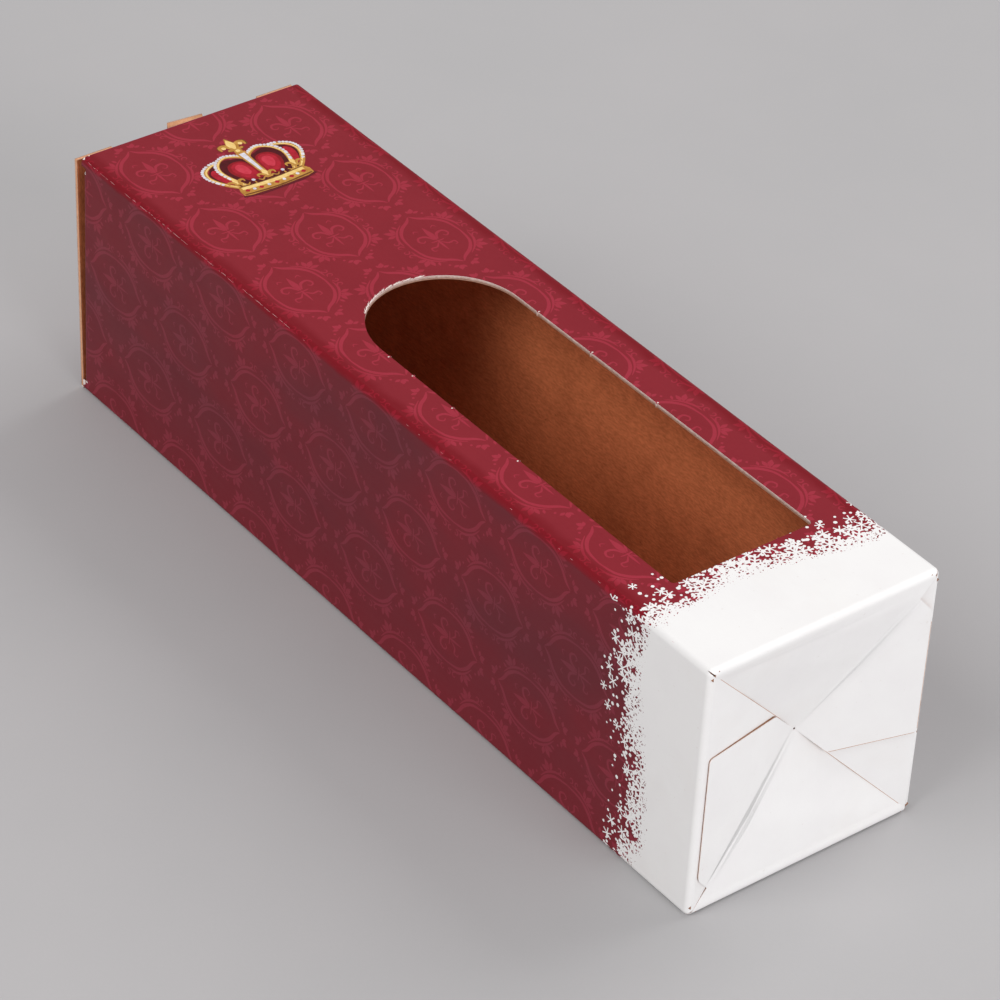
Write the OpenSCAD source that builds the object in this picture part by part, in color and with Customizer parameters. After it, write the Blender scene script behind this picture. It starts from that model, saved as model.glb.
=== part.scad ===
// Gift carton for one bottle, lying on its back panel with the windowed front panel up.
// One folded sheet of thin corrugated board, with a crash-lock bottom and a tuck-in lid.
// X runs from the lid end to the bottom end, Y across the front panel, Z up through it.

/* [Carton] */
// Length of the tube, from the mouth to the folds of the bottom
body_len = 340; // [260:5:400]
// Width of the front and back panels
body_w = 92; // [80:1:120]
// Width of the two side panels
body_d = 97; // [80:1:120]
// Thickness of the corrugated board
board = 1.5; // [1.1:0.1:2]
// Radius inside every fold
fold_in = 0.7; // [0.3:0.1:1.5]
// Width of the glue flap along the back seam
seam_w = 18; // [12:1:26]
// Slope at each end of the glue flap, along the seam
seam_slope = 5; // [2:1:9]

/* [Window] */
// Width of the window
win_w = 56; // [36:1:62]
// Length of the window, from its square end to the top of the arch
win_len = 178; // [100:1:190]
// Margin between the square end of the window and the folds of the bottom
win_margin = 40; // [25:1:55]
// Radius of the two corners at the square end
win_corner = 1.5; // [0.5:0.5:8]

/* [Crash-lock bottom] */
// How deep the middle of the bottom is pushed in
push_in = 9.5; // [3:0.5:12]
// Gap between a glued wing and the side fold that it lies along
wing_gap = 2.8; // [1.5:0.1:5]
// Height of a wing's shoulder below the fold of its main flap
wing_top = 14.3; // [9:0.1:20]
// Height of a wing's free corner above the far fold
wing_foot = 34.5; // [20:0.5:38]
// Where the free edge of a wing leaves the diagonal, from 0 at the corner to 1 in the middle
wing_turn = 0.74; // [0.6:0.01:0.85]
// Where the notch at the outer end of a wing's crease lies on the same scale
notch_ratio = 0.13; // [0.1:0.01:0.22]
// Where the blunt end of a minor flap lies on the same scale
minor_turn = 0.82; // [0.76:0.01:0.9]
// Space between a minor flap and the crease of the wing over it
minor_clear = 0.6; // [0.4:0.2:3]
// How far a minor flap is cut back at the corner beside its free edge
minor_relief = 1; // [0.5:0.5:3]
// How far two glued layers are pressed into each other
glue_bite = 0.2; // [0.1:0.05:0.4]

/* [Dust flaps] */
// Length of a dust flap from its side panel
dust_len = 40; // [25:1:44]
// Distance from the mouth to the outer face of a dust flap
dust_set = 0.5; // [0.5:0.5:3]
// Space between a dust flap and the outside of the front panel, for the tuck flap
dust_front = 5.5; // [5:0.5:10]
// Space between a dust flap and the outside of the back panel
dust_back = 4; // [3:0.5:10]
// How much the front and back edges of a dust flap draw in towards its end
dust_taper = 8; // [3:1:14]

/* [Lid] */
// How far the lid stands open
lid_ajar = 2; // [0:0.5:5]
// How much narrower the lid is than the box
lid_less = 1; // [0.5:0.5:4]
// Running gap between the lid's crease and the end of the back panel
lid_gap = 0.3; // [0.2:0.05:0.6]
// Width of the tuck flap
tuck_w = 60; // [40:1:68]
// Length of the tuck flap
tuck_len = 22; // [14:1:26]
// How far the tuck flap leans in past a right angle
tuck_lean = 8.5; // [8:0.5:12]
// Space between the tuck flap's fold and the inner face of the front panel
tuck_gap = 0.8; // [0.5:0.1:2]
// Radius of the two free corners of the tuck flap
tuck_corner = 8; // [3:1:12]
// Width of the lift tab
tab_w = 14.5; // [10:0.5:24]
// How far the shoulders beside the tuck flap stay below the front panel's outer face
shoulder_low = 3; // [0:0.5:4]
// Height of the lift tab above the shoulders
tab_proud = 1.5; // [1.5:0.5:6]

/* [Hidden] */
$fn = 48;
print_red = "#8B2A35";
kraft = "#B07A4A";

fold_r = fold_in + board;
half_w = body_w / 2;
half_d = body_d / 2;
// Half lengths of the hinge lines, between the rounded corners
flat_w = half_w - fold_r;
flat_d = half_d - fold_r;
tube_len = body_len - fold_r;
win_r = win_w / 2;
win_end = body_len - win_margin;
win_arch = win_end - win_len + win_r;
// Raw edge of the back panel beside the seam, set in from the side panel's face
seam_step = 0.4;
// Height of the glue flap's lower face, pressed into the back panel
seam_z = board - glue_bite;
// A main flap dips and rises by one board half way along the diagonals, and by a share at its notch
half_ratio = 0.5;
rise_ratio = 0.8;
// A cut runs this far past each face that it opens
past = 1;
// Slits at the corners of the mouth, past the rounded folds
slit = 0.8;

// The lid turns about the middle of the back panel's board
axis_z = board / 2;
axis_x = -lid_gap - board / 2;
lid_half = half_w - lid_less / 2;
// Heights above the axis: the tuck fold, the shoulders and the lift tab
tuck_z = body_d - board - tuck_gap - axis_z;
shoulder_z = body_d - shoulder_low - axis_z;
tab_z = shoulder_z + tab_proud;
tab_slit = 0.5;
// Length of tuck flap that the lift tab was cut from
tab_slot = tab_z - tuck_z;
// Degrees by which the tuck fold runs on inside the lid panel, so that the two are one solid
fold_lap = 10;

// Reach of the part along X, for its origin in the middle of the bounding box
reach_min = axis_x - tab_z * sin(lid_ajar) - board / 2 * cos(lid_ajar);
reach_max = body_len + board;
mid_x = (reach_min + reach_max) / 2;

// A point on the diagonal towards one corner: 0 at the corner, 1 in the middle of the end
function diagonal(side, level, t) = [side * flat_w * (1 - t), half_d + level * flat_d * (1 - t)];
// Depth below the end plane of the straight slope that all four flaps follow
function slope(t) = push_in * t;
// Depth of a minor flap that slopes in from its own side fold
function side_slope(p) = push_in * (flat_w - p[0]) / flat_w - glue_bite;

// Section of a round fold: from the +X side of its centre round to the +Y side, and on by a lean
module round_fold(lean = 0) {
    reach = fold_r + past;
    intersection() {
        difference() {
            circle(r = fold_r);
            circle(r = fold_in);
        }
        polygon([[0, 0], [reach, 0], [reach, reach], [-reach * tan(lean), reach]]);
    }
}

// Flap of flat facets: points are [y, z, depth], the outline comes first and runs round it
module facet_flap(points, outline, facets) {
    n = len(points);
    outer = [for (p = points) [body_len - p[2], p[0], p[1]]];
    inner = [for (p = points) [body_len - p[2] - board, p[0], p[1]]];
    rim = [for (i = [0:outline - 1]) [(i + 1) % outline, i, n + i, n + (i + 1) % outline]];
    back = [for (f = facets) [n + f[2], n + f[1], n + f[0]]];
    polyhedron(points = concat(outer, inner), faces = concat(facets, rim, back));
}

// Main flap on the front panel's edge, with the wing that is glued over the minor flap.
// Its raw edge dips under one wing and its crease rises over the other minor flap.
module main_flap() {
    left = diagonal(-1, 1, 0);
    right = diagonal(1, 1, 0);
    notch = diagonal(1, 1, notch_ratio);
    turn = diagonal(1, -1, wing_turn);
    middle = diagonal(1, -1, 1);
    tuck = diagonal(-1, 1, half_ratio);
    crease = diagonal(1, 1, half_ratio);
    wing_y = half_w - wing_gap;
    points = [
        [left[0], left[1], 0],
        [right[0], right[1], 0],
        [notch[0], notch[1], slope(notch_ratio) - rise_ratio * board],
        [wing_y, body_d - wing_top, -board],
        [wing_y, wing_foot, -board],
        [turn[0], turn[1], slope(wing_turn) - board],
        [middle[0], middle[1], slope(1)],
        [tuck[0], tuck[1], slope(half_ratio) + board],
        [crease[0], crease[1], slope(half_ratio) - board]
    ];
    hub = len(points) - 1;
    outline = hub;
    facets = concat(
        [[0, 1, 2], [0, 2, hub]],
        [for (i = [2:outline - 1]) [i, (i + 1) % outline, hub]]
    );
    facet_flap(points, outline, facets);
}

// Minor flap on the side panel's edge, under the wing
module minor_flap() {
    corners = [
        diagonal(1, -1, 0) + [0, minor_relief],
        diagonal(1, -1, minor_turn),
        diagonal(1, 1, minor_turn) - [0, minor_clear],
        diagonal(1, 1, 0) - [0, minor_clear]
    ];
    points = [for (c = corners) [c[0], c[1], side_slope(c)]];
    facet_flap(points, len(points), [[0, 1, 2], [0, 2, 3]]);
}

// Half of the bottom: a main flap, a minor flap and their folds
module half_bottom() {
    translate([tube_len, -flat_w, body_d - fold_r])
        rotate([-90, 0, 0])
            mirror([0, 1, 0])
                linear_extrude(2 * flat_w)
                    round_fold();
    translate([tube_len, half_w - fold_r, fold_r + minor_relief])
        linear_extrude(2 * flat_d - minor_relief - minor_clear)
            round_fold();
    main_flap();
    minor_flap();
}

// Section of the tube: four panels, three rounded folds and the glued seam
module tube_section() {
    side = half_w - fold_r;
    translate([-side, body_d - board])
        square([2 * side, board]);
    translate([-side, 0])
        square([side + half_w - seam_step, board]);
    translate([-half_w, fold_r])
        square([board, 2 * flat_d]);
    translate([half_w - board, fold_r + seam_z])
        square([board, 2 * flat_d - seam_z]);
    translate([side, body_d - fold_r])
        round_fold();
    translate([-side, body_d - fold_r])
        mirror([1, 0])
            round_fold();
    translate([-side, fold_r])
        rotate(180)
            round_fold();
    translate([side, fold_r + seam_z])
        mirror([0, 1])
            round_fold();
}

// Glue flap of the seam, turned in over the back panel, with sloping ends
module seam_flap() {
    side = half_w - fold_r;
    inner = half_w - seam_w;
    mouth_end = dust_set + fold_r + seam_slope;
    bottom_end = tube_len - seam_slope;
    translate([0, 0, seam_z])
        linear_extrude(board)
            polygon([
                [mouth_end, side],
                [mouth_end + seam_slope, inner],
                [bottom_end - seam_slope, inner],
                [bottom_end, side]
            ]);
}

// Outline of the window: square at the bottom end, a half-round arch at the lid end
module window_outline() {
    translate([win_arch, 0])
        circle(r = win_r);
    translate([win_arch, -win_r])
        square([win_end - win_corner - win_arch, win_w]);
    translate([win_arch, -win_r + win_corner])
        square([win_end - win_arch, win_w - 2 * win_corner]);
    for (side = [-1, 1])
        translate([win_end - win_corner, side * (win_r - win_corner)])
            circle(r = win_corner);
}

// Dust flap on the +Y side panel, folded in across the mouth
module dust_flap() {
    root = half_w - fold_r;
    tip = half_w - dust_len;
    low = dust_back;
    high = body_d - dust_front;
    translate([dust_set + fold_r, root, low])
        mirror([1, 0, 0])
            linear_extrude(high - low)
                round_fold();
    translate([dust_set, 0, 0])
        rotate([90, 0, 90])
            linear_extrude(board)
                polygon([
                    [root, low],
                    [root, high],
                    [tip, high - dust_taper],
                    [tip, low + dust_taper]
                ]);
}

// The tube stands on its section; each side panel is cut back at the mouth for its dust flap
module tube() {
    difference() {
        rotate([90, 0, 90])
            linear_extrude(tube_len)
                tube_section();
        translate([0, 0, body_d - board - past])
            linear_extrude(board + 2 * past)
                window_outline();
        for (side = [-1, 1]) {
            cut_y = side > 0 ? half_w - board - past : -half_w - past;
            translate([-past, cut_y, fold_r + board + slit])
                cube([dust_set + fold_r + past, board + 2 * past, 2 * flat_d - board - 2 * slit]);
        }
    }
}

module carton_shape() {
    tube();
    seam_flap();
    dust_flap();
    mirror([0, 1, 0])
        dust_flap();
    half_bottom();
    translate([0, 0, half_d])
        rotate([180, 0, 0])
            translate([0, 0, -half_d])
                half_bottom();
}

// Outline of the lid panel in its own plane: shoulders at both corners and the lift tab
module lid_outline() {
    fold_z = tuck_z - fold_r;
    translate([-lid_half, 0])
        square([2 * lid_half, fold_z]);
    for (side = [0, 1])
        mirror([side, 0])
            translate([tuck_w / 2 + tab_slit, 0])
                square([lid_half - tuck_w / 2 - tab_slit, shoulder_z]);
    translate([-tab_w / 2, 0])
        square([tab_w, tab_z]);
}

// Outline of the tuck flap, laid flat, with the slot that the lift tab left
module tuck_outline() {
    half = tuck_w / 2;
    difference() {
        union() {
            translate([0, -half])
                square([tuck_len - tuck_corner, tuck_w]);
            translate([0, -half + tuck_corner])
                square([tuck_len, tuck_w - 2 * tuck_corner]);
            for (side = [-1, 1])
                translate([tuck_len - tuck_corner, side * (half - tuck_corner)])
                    circle(r = tuck_corner);
        }
        translate([-past, -tab_w / 2 - tab_slit])
            square([tab_slot + past, tab_w + 2 * tab_slit]);
    }
}

// Lid shut, measured from its crease: the panel stands in the YZ plane
module lid_shape() {
    rotate([90, 0, 0])
        cylinder(h = 2 * lid_half, r = board / 2, center = true);
    translate([-board / 2, 0, 0])
        rotate([90, 0, 90])
            linear_extrude(board)
                lid_outline();
    // The tuck flap and its fold, which is open at the lift tab
    translate([fold_r - board / 2, 0, tuck_z - fold_r])
        rotate([0, tuck_lean, 0]) {
            for (side = [-1, 1]) {
                run = tuck_w / 2 - tab_w / 2 - tab_slit;
                translate([0, side * (tuck_w / 2 - run / 2) + run / 2, 0])
                    rotate([90, 0, 0])
                        linear_extrude(run)
                            rotate(90)
                                round_fold(tuck_lean + fold_lap);
            }
            translate([0, 0, fold_r - board])
                linear_extrude(board)
                    tuck_outline();
        }
}

module carton() {
    color(print_red)
        translate([-mid_x, 0, 0])
            carton_shape();
}

module lid() {
    color(kraft)
        translate([axis_x - mid_x, 0, axis_z])
            rotate([0, -lid_ajar, 0])
                lid_shape();
}

carton();
lid();
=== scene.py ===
# %% [markdown]
# # A windowed bottle carton
# A tall gift carton for one bottle, die-cut from thin corrugated board, folded and glued. It lies on its
# back panel. The camera looks at the crash-lock bottom, and the lid is at the far end.
# The carton could be painted onto the plain CAD solid, but its charm is in the paper: a white coated liner
# with print on it, a brown wavy flute and a brown kraft liner. So each ply is cut flat, as on a real die,
# and then folded up by one function that says where a point of the flat sheet ends up.

# %% Load the CAD frame
import math
import random

import bpy
from mathutils import Matrix, Vector
from mathutils.geometry import delaunay_2d_cdt


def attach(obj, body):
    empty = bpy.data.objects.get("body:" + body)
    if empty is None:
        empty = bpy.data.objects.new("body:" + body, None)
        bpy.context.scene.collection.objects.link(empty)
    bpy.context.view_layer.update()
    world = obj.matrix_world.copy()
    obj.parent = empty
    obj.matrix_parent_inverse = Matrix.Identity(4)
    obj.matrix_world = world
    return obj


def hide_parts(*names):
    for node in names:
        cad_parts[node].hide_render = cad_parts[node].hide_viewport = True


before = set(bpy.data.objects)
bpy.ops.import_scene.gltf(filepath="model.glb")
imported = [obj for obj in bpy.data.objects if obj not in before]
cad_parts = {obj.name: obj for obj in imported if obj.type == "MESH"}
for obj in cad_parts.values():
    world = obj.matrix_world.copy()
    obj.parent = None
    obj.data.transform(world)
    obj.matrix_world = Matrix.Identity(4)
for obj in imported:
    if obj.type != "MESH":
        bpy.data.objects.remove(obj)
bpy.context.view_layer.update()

# %% [markdown]
# ## The carton's sizes
# All sizes are in millimetres and are the CAD model's own. The flat sheet has two coordinates: u runs from
# the mouth to the bottom, and v runs round the four panels. v = 0 is the fold between the left side panel
# and the front, so the front panel lies between v = 0 and v = 92.

# %% Sizes
BODY_LEN, BODY_W, BODY_D = 340.0, 92.0, 97.0
HALF_W, HALF_D, TURN = BODY_W / 2, BODY_D / 2, BODY_W + BODY_D
BOARD, FOLD_R = 1.5, 2.2
# Distance from the mouth to the frame's origin
MID_X = 168.197
LINER, MEDIUM, FLUTE_PITCH = 0.28, 0.16, 3.2
SEAM_Z, SEAM_STEP, SEAM_W, SEAM_SLOPE = 1.3, 0.4, 18.0, 5.0
FOLD_END = BODY_LEN - FOLD_R
FLAT_W, FLAT_D = HALF_W - FOLD_R, HALF_D - FOLD_R
WIN_R, WIN_ARCH, WIN_END = 28.0, 150.0, 300.0
LID_V = -BODY_D - BODY_W
print(f"tube {BODY_LEN} x {BODY_W} x {BODY_D} mm, board {BOARD} mm, window {WIN_END - WIN_ARCH + WIN_R} mm long")

# %% [markdown]
# ## Folding the sheet
# A fold could be made with a bend modifier, but a die-cut sheet needs many folds that must meet exactly.
# Here one function places any point of the sheet: a panel is straight, and each corner is a quarter of a
# cylinder with a radius of 2.2 mm outside. h is the depth in the board: 0 is the printed face and -1.5 is
# the kraft face. The bottom edge of each panel rolls over in the same way, and at the mouth the side
# panels roll inwards into the dust flaps.

# %% The tube's section
# Corners of the tube's section: distance v along the sheet, and the place (y, z) of the sharp corner
CORNERS = [
    (LID_V + SEAM_STEP, HALF_W - SEAM_STEP, 0.0),
    (-BODY_D, -HALF_W, 0.0),
    (0.0, -HALF_W, BODY_D),
    (BODY_W, HALF_W, BODY_D),
    (TURN - SEAM_Z, HALF_W, SEAM_Z),
    (TURN - SEAM_Z + SEAM_W, HALF_W - SEAM_W, SEAM_Z),
]
BOW, BOW_SPAN = 0.1, 94.0


def bow(u, v):
    """The board's slight, slow unevenness in mm; it dies away at the folds."""
    across = math.sin(math.pi * min(1.0, max(0.0, (v % BOW_SPAN) / BOW_SPAN)))
    along = math.sin(math.pi * min(1.0, max(0.0, u / FOLD_END)))
    wave = math.sin(u * 0.021 + 0.9) * math.cos(v * 0.031 - 0.4) + 0.6 * math.sin(u * 0.047 + v * 0.058)
    return BOW * across * along * wave


def section(v):
    """Place and outward direction on the outer face of the tube's section: y, z, ny, nz."""
    k = 0
    while k < len(CORNERS) - 2 and v > CORNERS[k + 1][0]:
        k += 1
    v0, y0, z0 = CORNERS[k]
    v1, y1, z1 = CORNERS[k + 1]
    dy, dz = (y1 - y0) / (v1 - v0), (z1 - z0) / (v1 - v0)
    for j, near in ((k, v - v0), (k + 1, v1 - v)):
        if near < FOLD_R and 0 < j < len(CORNERS) - 1:
            va, ya, za = CORNERS[j - 1]
            vc, yc, zc = CORNERS[j]
            vb, yb, zb = CORNERS[j + 1]
            n0 = (-(zc - za) / (vc - va), (yc - ya) / (vc - va))
            n1 = (-(zb - zc) / (vb - vc), (yb - yc) / (vb - vc))
            turn = (v - vc + FOLD_R) / (2 * FOLD_R) * math.pi / 2
            ny = n0[0] * math.cos(turn) + n1[0] * math.sin(turn)
            nz = n0[1] * math.cos(turn) + n1[1] * math.sin(turn)
            cy = yc - FOLD_R * (n0[0] + n1[0])
            cz = zc - FOLD_R * (n0[1] + n1[1])
            return cy + FOLD_R * ny, cz + FOLD_R * nz, ny, nz
    return y0 + dy * (v - v0), z0 + dz * (v - v0), -dz, dy


# %% Fold the sheet up
# The dust flaps: where their fold starts, and their two ends as heights over the table
ROOT = 0.5 + FOLD_R
DUST_LOW, DUST_HIGH = 4.8, 91.5


def is_dust(v):
    """Whether the mouth's edge carries one of the two dust flaps at v."""
    height = BODY_D + v if v < 0 else BODY_D + BODY_W - v
    return DUST_LOW - 0.2 < height < DUST_HIGH + 0.2 and (v < 0 or v > BODY_W) and v > -BODY_D


def roll_over(run, h):
    """How far onward and how far inwards a point has got, run mm past the start of a fold."""
    turn = min(1.0, run / (2 * FOLD_R)) * math.pi / 2
    return (FOLD_R + h) * math.sin(turn), -FOLD_R + (FOLD_R + h) * math.cos(turn)


def fold_tube(u, v, h):
    """Place of a point of the tube's sheet, in mm."""
    y, z, ny, nz = section(v)
    x, sink = u, h
    if u > FOLD_END:
        onward, sink = roll_over(u - FOLD_END, h)
        x = FOLD_END + onward
    elif u < ROOT and is_dust(v):
        onward, sink = roll_over(ROOT - u, h)
        x, sink = ROOT - onward, sink + min(0.0, u - ROOT + 2 * FOLD_R)
    else:
        sink += bow(u, v)
    return x - MID_X, y + ny * sink, z + nz * sink


print("front fold, middle:", [round(c, 2) for c in fold_tube(100, 0, 0)])

# %% [markdown]
# ## Cutting the sheet
# Print could be a picture on the panel. Here it is cut into the sheet instead: each printed shape is an
# outline in the flat sheet, and a constrained triangulation joins all outlines into one clean skin whose
# faces know their ink. Edges stay sharp at any distance, and the print folds with the paper.
# A ply is then a thin closed slab: the inked faces, the same outline below them, and walls round the cut.

# %% Triangulate a flat sheet
SNAP = 1e-4


def doubled_area(loop):
    """Twice the area inside an outline; it is negative where the outline runs clockwise."""
    return sum(a[0] * b[1] - a[1] * b[0] for a, b in zip(loop, loop[1:] + loop[:1]))


def dense(loop, step=5.0):
    """The same outline with points on its long straight edges, so that it can follow the board's bow."""
    out = []
    for (a, b), (c, d) in zip(loop, loop[1:] + loop[:1]):
        parts = max(1, round(math.hypot(c - a, d - b) / step))
        out += [(a + (c - a) * k / parts, b + (d - b) * k / parts) for k in range(parts)]
    return out


def lay_out(outline, holes=(), prints=(), lines=(), points=()):
    """Triangles of a flat sheet: points, triangles and the ink of each one (None is unprinted)."""
    verts, edges, faces, tags = [], [], [], []
    for loop, tag in [(outline, "sheet")] + [(h, "hole") for h in holes] + list(prints):
        first = len(verts)
        verts.extend(Vector(p) for p in (loop if doubled_area(loop) > 0 else loop[::-1]))
        faces.append(list(range(first, first + len(loop))))
        tags.append(tag)
    for line in lines:
        first = len(verts)
        verts.extend(Vector(p) for p in line)
        edges.extend((first + i, first + i + 1) for i in range(len(line) - 1))
    verts.extend(Vector(p) for p in points)
    flat, _, tris, _, _, owners = delaunay_2d_cdt(verts, edges, faces, 0, SNAP, True)
    kept, inks = [], []
    for tri, ids in zip(tris, owners):
        names = [tags[i] for i in sorted(ids)]
        if "sheet" in names and "hole" not in names:
            kept.append(list(tri))
            inks.append(names[-1] if names[-1] != "sheet" else None)
    used = sorted({i for t in kept for i in t})
    new = {old: i for i, old in enumerate(used)}
    return [tuple(flat[i]) for i in used], [[new[i] for i in t] for t in kept], inks


def rims(tris):
    """Loops of the sheet's cut edge, each with the sheet on its left."""
    sides = {(t[k], t[(k + 1) % len(t)]) for t in tris for k in range(len(t))}
    onward = {}
    for a, b in sorted(sides):
        if (b, a) not in sides:
            onward.setdefault(a, []).append(b)
    loops = []
    while onward:
        start = next(iter(onward))
        loop, at = [], start
        while True:
            loop.append(at)
            ways = onward[at]
            step = ways.pop()
            if not ways:
                del onward[at]
            at = step
            if at == start:
                break
        loops.append(loop)
    return loops


# %% [markdown]
# A piece grows face by face: a liner gives its two skins and the walls at its cut edges. The smooth normals
# are taken from the folded sheet itself, so a fold looks round although it has few faces.

# %% Collect faces into pieces
class Cutting:
    """Faces of one piece as they are made.

    reads turns a point of its layout into the u and v that the finishes read.
    """

    def __init__(self, reads=lambda u, v: (u, v)):
        self.spots, self.flat, self.faces, self.finish, self.normals = [], [], [], [], []
        self.reads = reads

    def spot(self, place, u, v, h):
        self.spots.append([c / 1000 for c in place(u, v, h)])
        self.flat.append([c / 1000 for c in (*self.reads(u, v), h)])
        return len(self.spots) - 1

    def face(self, corners, finish, normals=None):
        self.faces.append(corners)
        self.finish.append(finish)
        self.normals.extend(normals or [(0.0, 0.0, 0.0)] * len(corners))


# %% Cut one ply
def outward(place, u, v, h, step=0.12):
    """Direction out of the printed face, from four neighbours on the folded sheet."""
    along = Vector(place(u + step, v, h)) - Vector(place(u - step, v, h))
    across = Vector(place(u, v + step, h)) - Vector(place(u, v - step, h))
    return tuple(along.cross(across).normalized())


def ply(cutting, place, outline, top, bottom, face_ink, under_ink, edge_ink, **cuts):
    """One liner as a closed slab between the depths top and bottom.

    It gives back the number of triangles in its face, and of walls that found no seat below.
    """
    outline, cuts["holes"] = dense(outline), [dense(hole) for hole in cuts.get("holes", ())]
    flat, tris, inks = lay_out(outline, **cuts)
    high = [cutting.spot(place, u, v, top) for u, v in flat]
    facing = [outward(place, u, v, top) for u, v in flat]
    for tri, ink in zip(tris, inks):
        cutting.face([high[i] for i in tri], ink or face_ink, [facing[i] for i in tri])
    loops = rims(tris)
    traced = [[flat[i] for i in loop] for loop in loops]
    outer = max(traced, key=lambda loop: abs(doubled_area(loop)))
    others = [loop for loop in traced if loop is not outer]
    under, under_tris, _ = lay_out(outer, holes=others, lines=cuts.get("lines", ()), points=cuts.get("points", ()))
    seats = [cutting.spot(place, u, v, bottom) for u, v in under]
    low = {(round(u, 3), round(v, 3)): seat for (u, v), seat in zip(under, seats)}
    facing = [tuple(-c for c in outward(place, u, v, bottom)) for u, v in under]
    for tri in under_tris:
        cutting.face([seats[i] for i in reversed(tri)], under_ink, [facing[i] for i in reversed(tri)])
    missed = 0
    for loop in loops:
        for a, b in zip(loop, loop[1:] + loop[:1]):
            ends = [low.get((round(flat[i][0], 3), round(flat[i][1], 3))) for i in (a, b)]
            if None in ends:
                missed += 1
                continue
            cutting.face([ends[0], ends[1], high[b], high[a]], edge_ink)
    return len(tris), missed


# %% Make a mesh of the faces
def finish_piece(name, cutting, body, node):
    """Make the mesh of one piece, tie it to its CAD body and hide the CAD node that it stands for."""
    inks = sorted(set(cutting.finish))
    mesh = bpy.data.meshes.new(name)
    mesh.from_pydata(cutting.spots, [], cutting.faces)
    for ink in inks:
        mesh.materials.append(FINISH[ink])
    mesh.polygons.foreach_set("material_index", [inks.index(f) for f in cutting.finish])
    sheet = mesh.attributes.new("sheet", "FLOAT_VECTOR", "POINT")
    sheet.data.foreach_set("vector", [c for p in cutting.flat for c in p])
    mesh.polygons.foreach_set("use_smooth", [True] * len(mesh.polygons))
    mesh.normals_split_custom_set(cutting.normals)
    piece = bpy.data.objects.new(name, mesh)
    bpy.context.scene.collection.objects.link(piece)
    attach(piece, body)
    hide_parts(node)
    print(f"{name}: {len(mesh.polygons)} faces, finishes {inks}")


# %% [markdown]
# ## Effects that the finishes share
# Everything here is paper, so a few effects come back in each finish: fibres, the flute that shows through a
# liner, uneven ink, a deeper red along the folds, a painted sheen on the side panels and small marks from
# handling. Each one is a node group with named inputs, made once. They all read the point attribute "sheet", so
# the grain runs with the board and stays with it when the sheet folds.

# %% Node helpers
def srgb(code):
    """Linear colour from a hex code."""
    tones = [int(code[i:i + 2], 16) / 255 for i in (1, 3, 5)]
    return [t / 12.92 if t < 0.04045 else ((t + 0.055) / 1.055) ** 2.4 for t in tones] + [1.0]


def add(tree, kind, settings=None, **inputs):
    """Add one shader node. Inputs are values or sockets: Base_Color is an input's name, _0 its place."""
    node = tree.nodes.new("ShaderNode" + kind)
    for key, value in (settings or {}).items():
        setattr(node, key, value)
    for key, value in inputs.items():
        socket = node.inputs[int(key[1:])] if key[0] == "_" else node.inputs[key.replace("_", " ")]
        if isinstance(value, bpy.types.NodeSocket):
            tree.links.new(value, socket)
        else:
            socket.default_value = value
    return node


def calc(tree, operation, a, b=0.0):
    """Result of one sum with two values."""
    return add(tree, "Math", dict(operation=operation), _0=a, _1=b).outputs[0]


def times(tree, a, b):
    """Product of two values."""
    return calc(tree, "MULTIPLY", a, b)


def fade(tree, value, start, end, low=0.0, high=1.0):
    """Value mapped from start..end to low..high, and held outside."""
    return add(tree, "MapRange", Value=value, From_Min=start, From_Max=end, To_Min=low, To_Max=high).outputs[0]


def blend(tree, amount, a, b):
    """Colour between a and b."""
    return add(tree, "Mix", dict(data_type="RGBA"), _0=amount, _6=a, _7=b).outputs[2]


def group(name, inputs, outputs):
    """Empty node group: inputs maps a name to its default, outputs names sockets by kind."""
    tree = bpy.data.node_groups.new(name, "ShaderNodeTree")
    for label, value in inputs.items():
        kind = "NodeSocketFloat" if isinstance(value, float) else "NodeSocketColor"
        tree.interface.new_socket(label, in_out="INPUT", socket_type=kind).default_value = value
    for label, kind in outputs.items():
        tree.interface.new_socket(label, in_out="OUTPUT", socket_type="NodeSocket" + kind)
    inside, out = tree.nodes.new("NodeGroupInput"), tree.nodes.new("NodeGroupOutput")
    sheet = add(tree, "Attribute", dict(attribute_name="sheet")).outputs["Vector"]
    return tree, inside.outputs, out.inputs, sheet


def stretched(tree, sheet, along, across):
    """Sheet coordinates stretched, so that a pattern gets long in one direction."""
    return add(tree, "VectorMath", dict(operation="MULTIPLY"), _0=sheet, _1=(along, across, 1.0)).outputs[0]


def noise(tree, place, scale, detail=2.0, rough=0.5):
    """Cloudy value between 0 and 1; scale counts its clouds for each metre."""
    return add(tree, "TexNoise", Vector=place, Scale=scale, Detail=detail, Roughness=rough).outputs[0]


# %% [markdown]
# ### The surface of a liner
# A liner isn't smooth: long fibres lie in it, its face is slightly grainy, and the flute below it shows as
# faint lines 3.2 mm apart that run along the carton. All three go into one height for the bump. The fibres
# also make the gloss uneven.

# %% Liner surface
SURFACE, ins, outs, sheet = group(
    "liner surface", {"Fibre": 0.3, "Flute lines": 0.3, "Grain": 0.3, "Gloss": 0.5, "Gloss spread": 0.1},
    {"Height": "Float", "Roughness": "Float"})
fibres = noise(SURFACE, stretched(SURFACE, sheet, 0.3, 1.0), 1900.0, 3.0)
grain = noise(SURFACE, sheet, 5200.0, 1.0)
across = add(SURFACE, "SeparateXYZ", Vector=sheet).outputs[1]
lines = calc(SURFACE, "SINE", times(SURFACE, across, 2000 * math.pi / FLUTE_PITCH))
height = times(SURFACE, fibres, ins["Fibre"])
height = calc(SURFACE, "ADD", height, times(SURFACE, lines, ins["Flute lines"]))
height = calc(SURFACE, "ADD", height, times(SURFACE, grain, ins["Grain"]))
SURFACE.links.new(height, outs["Height"])
patches = fade(SURFACE, noise(SURFACE, sheet, 60.0, 4.0), 0.3, 0.7, -1.0, 1.0)
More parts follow.
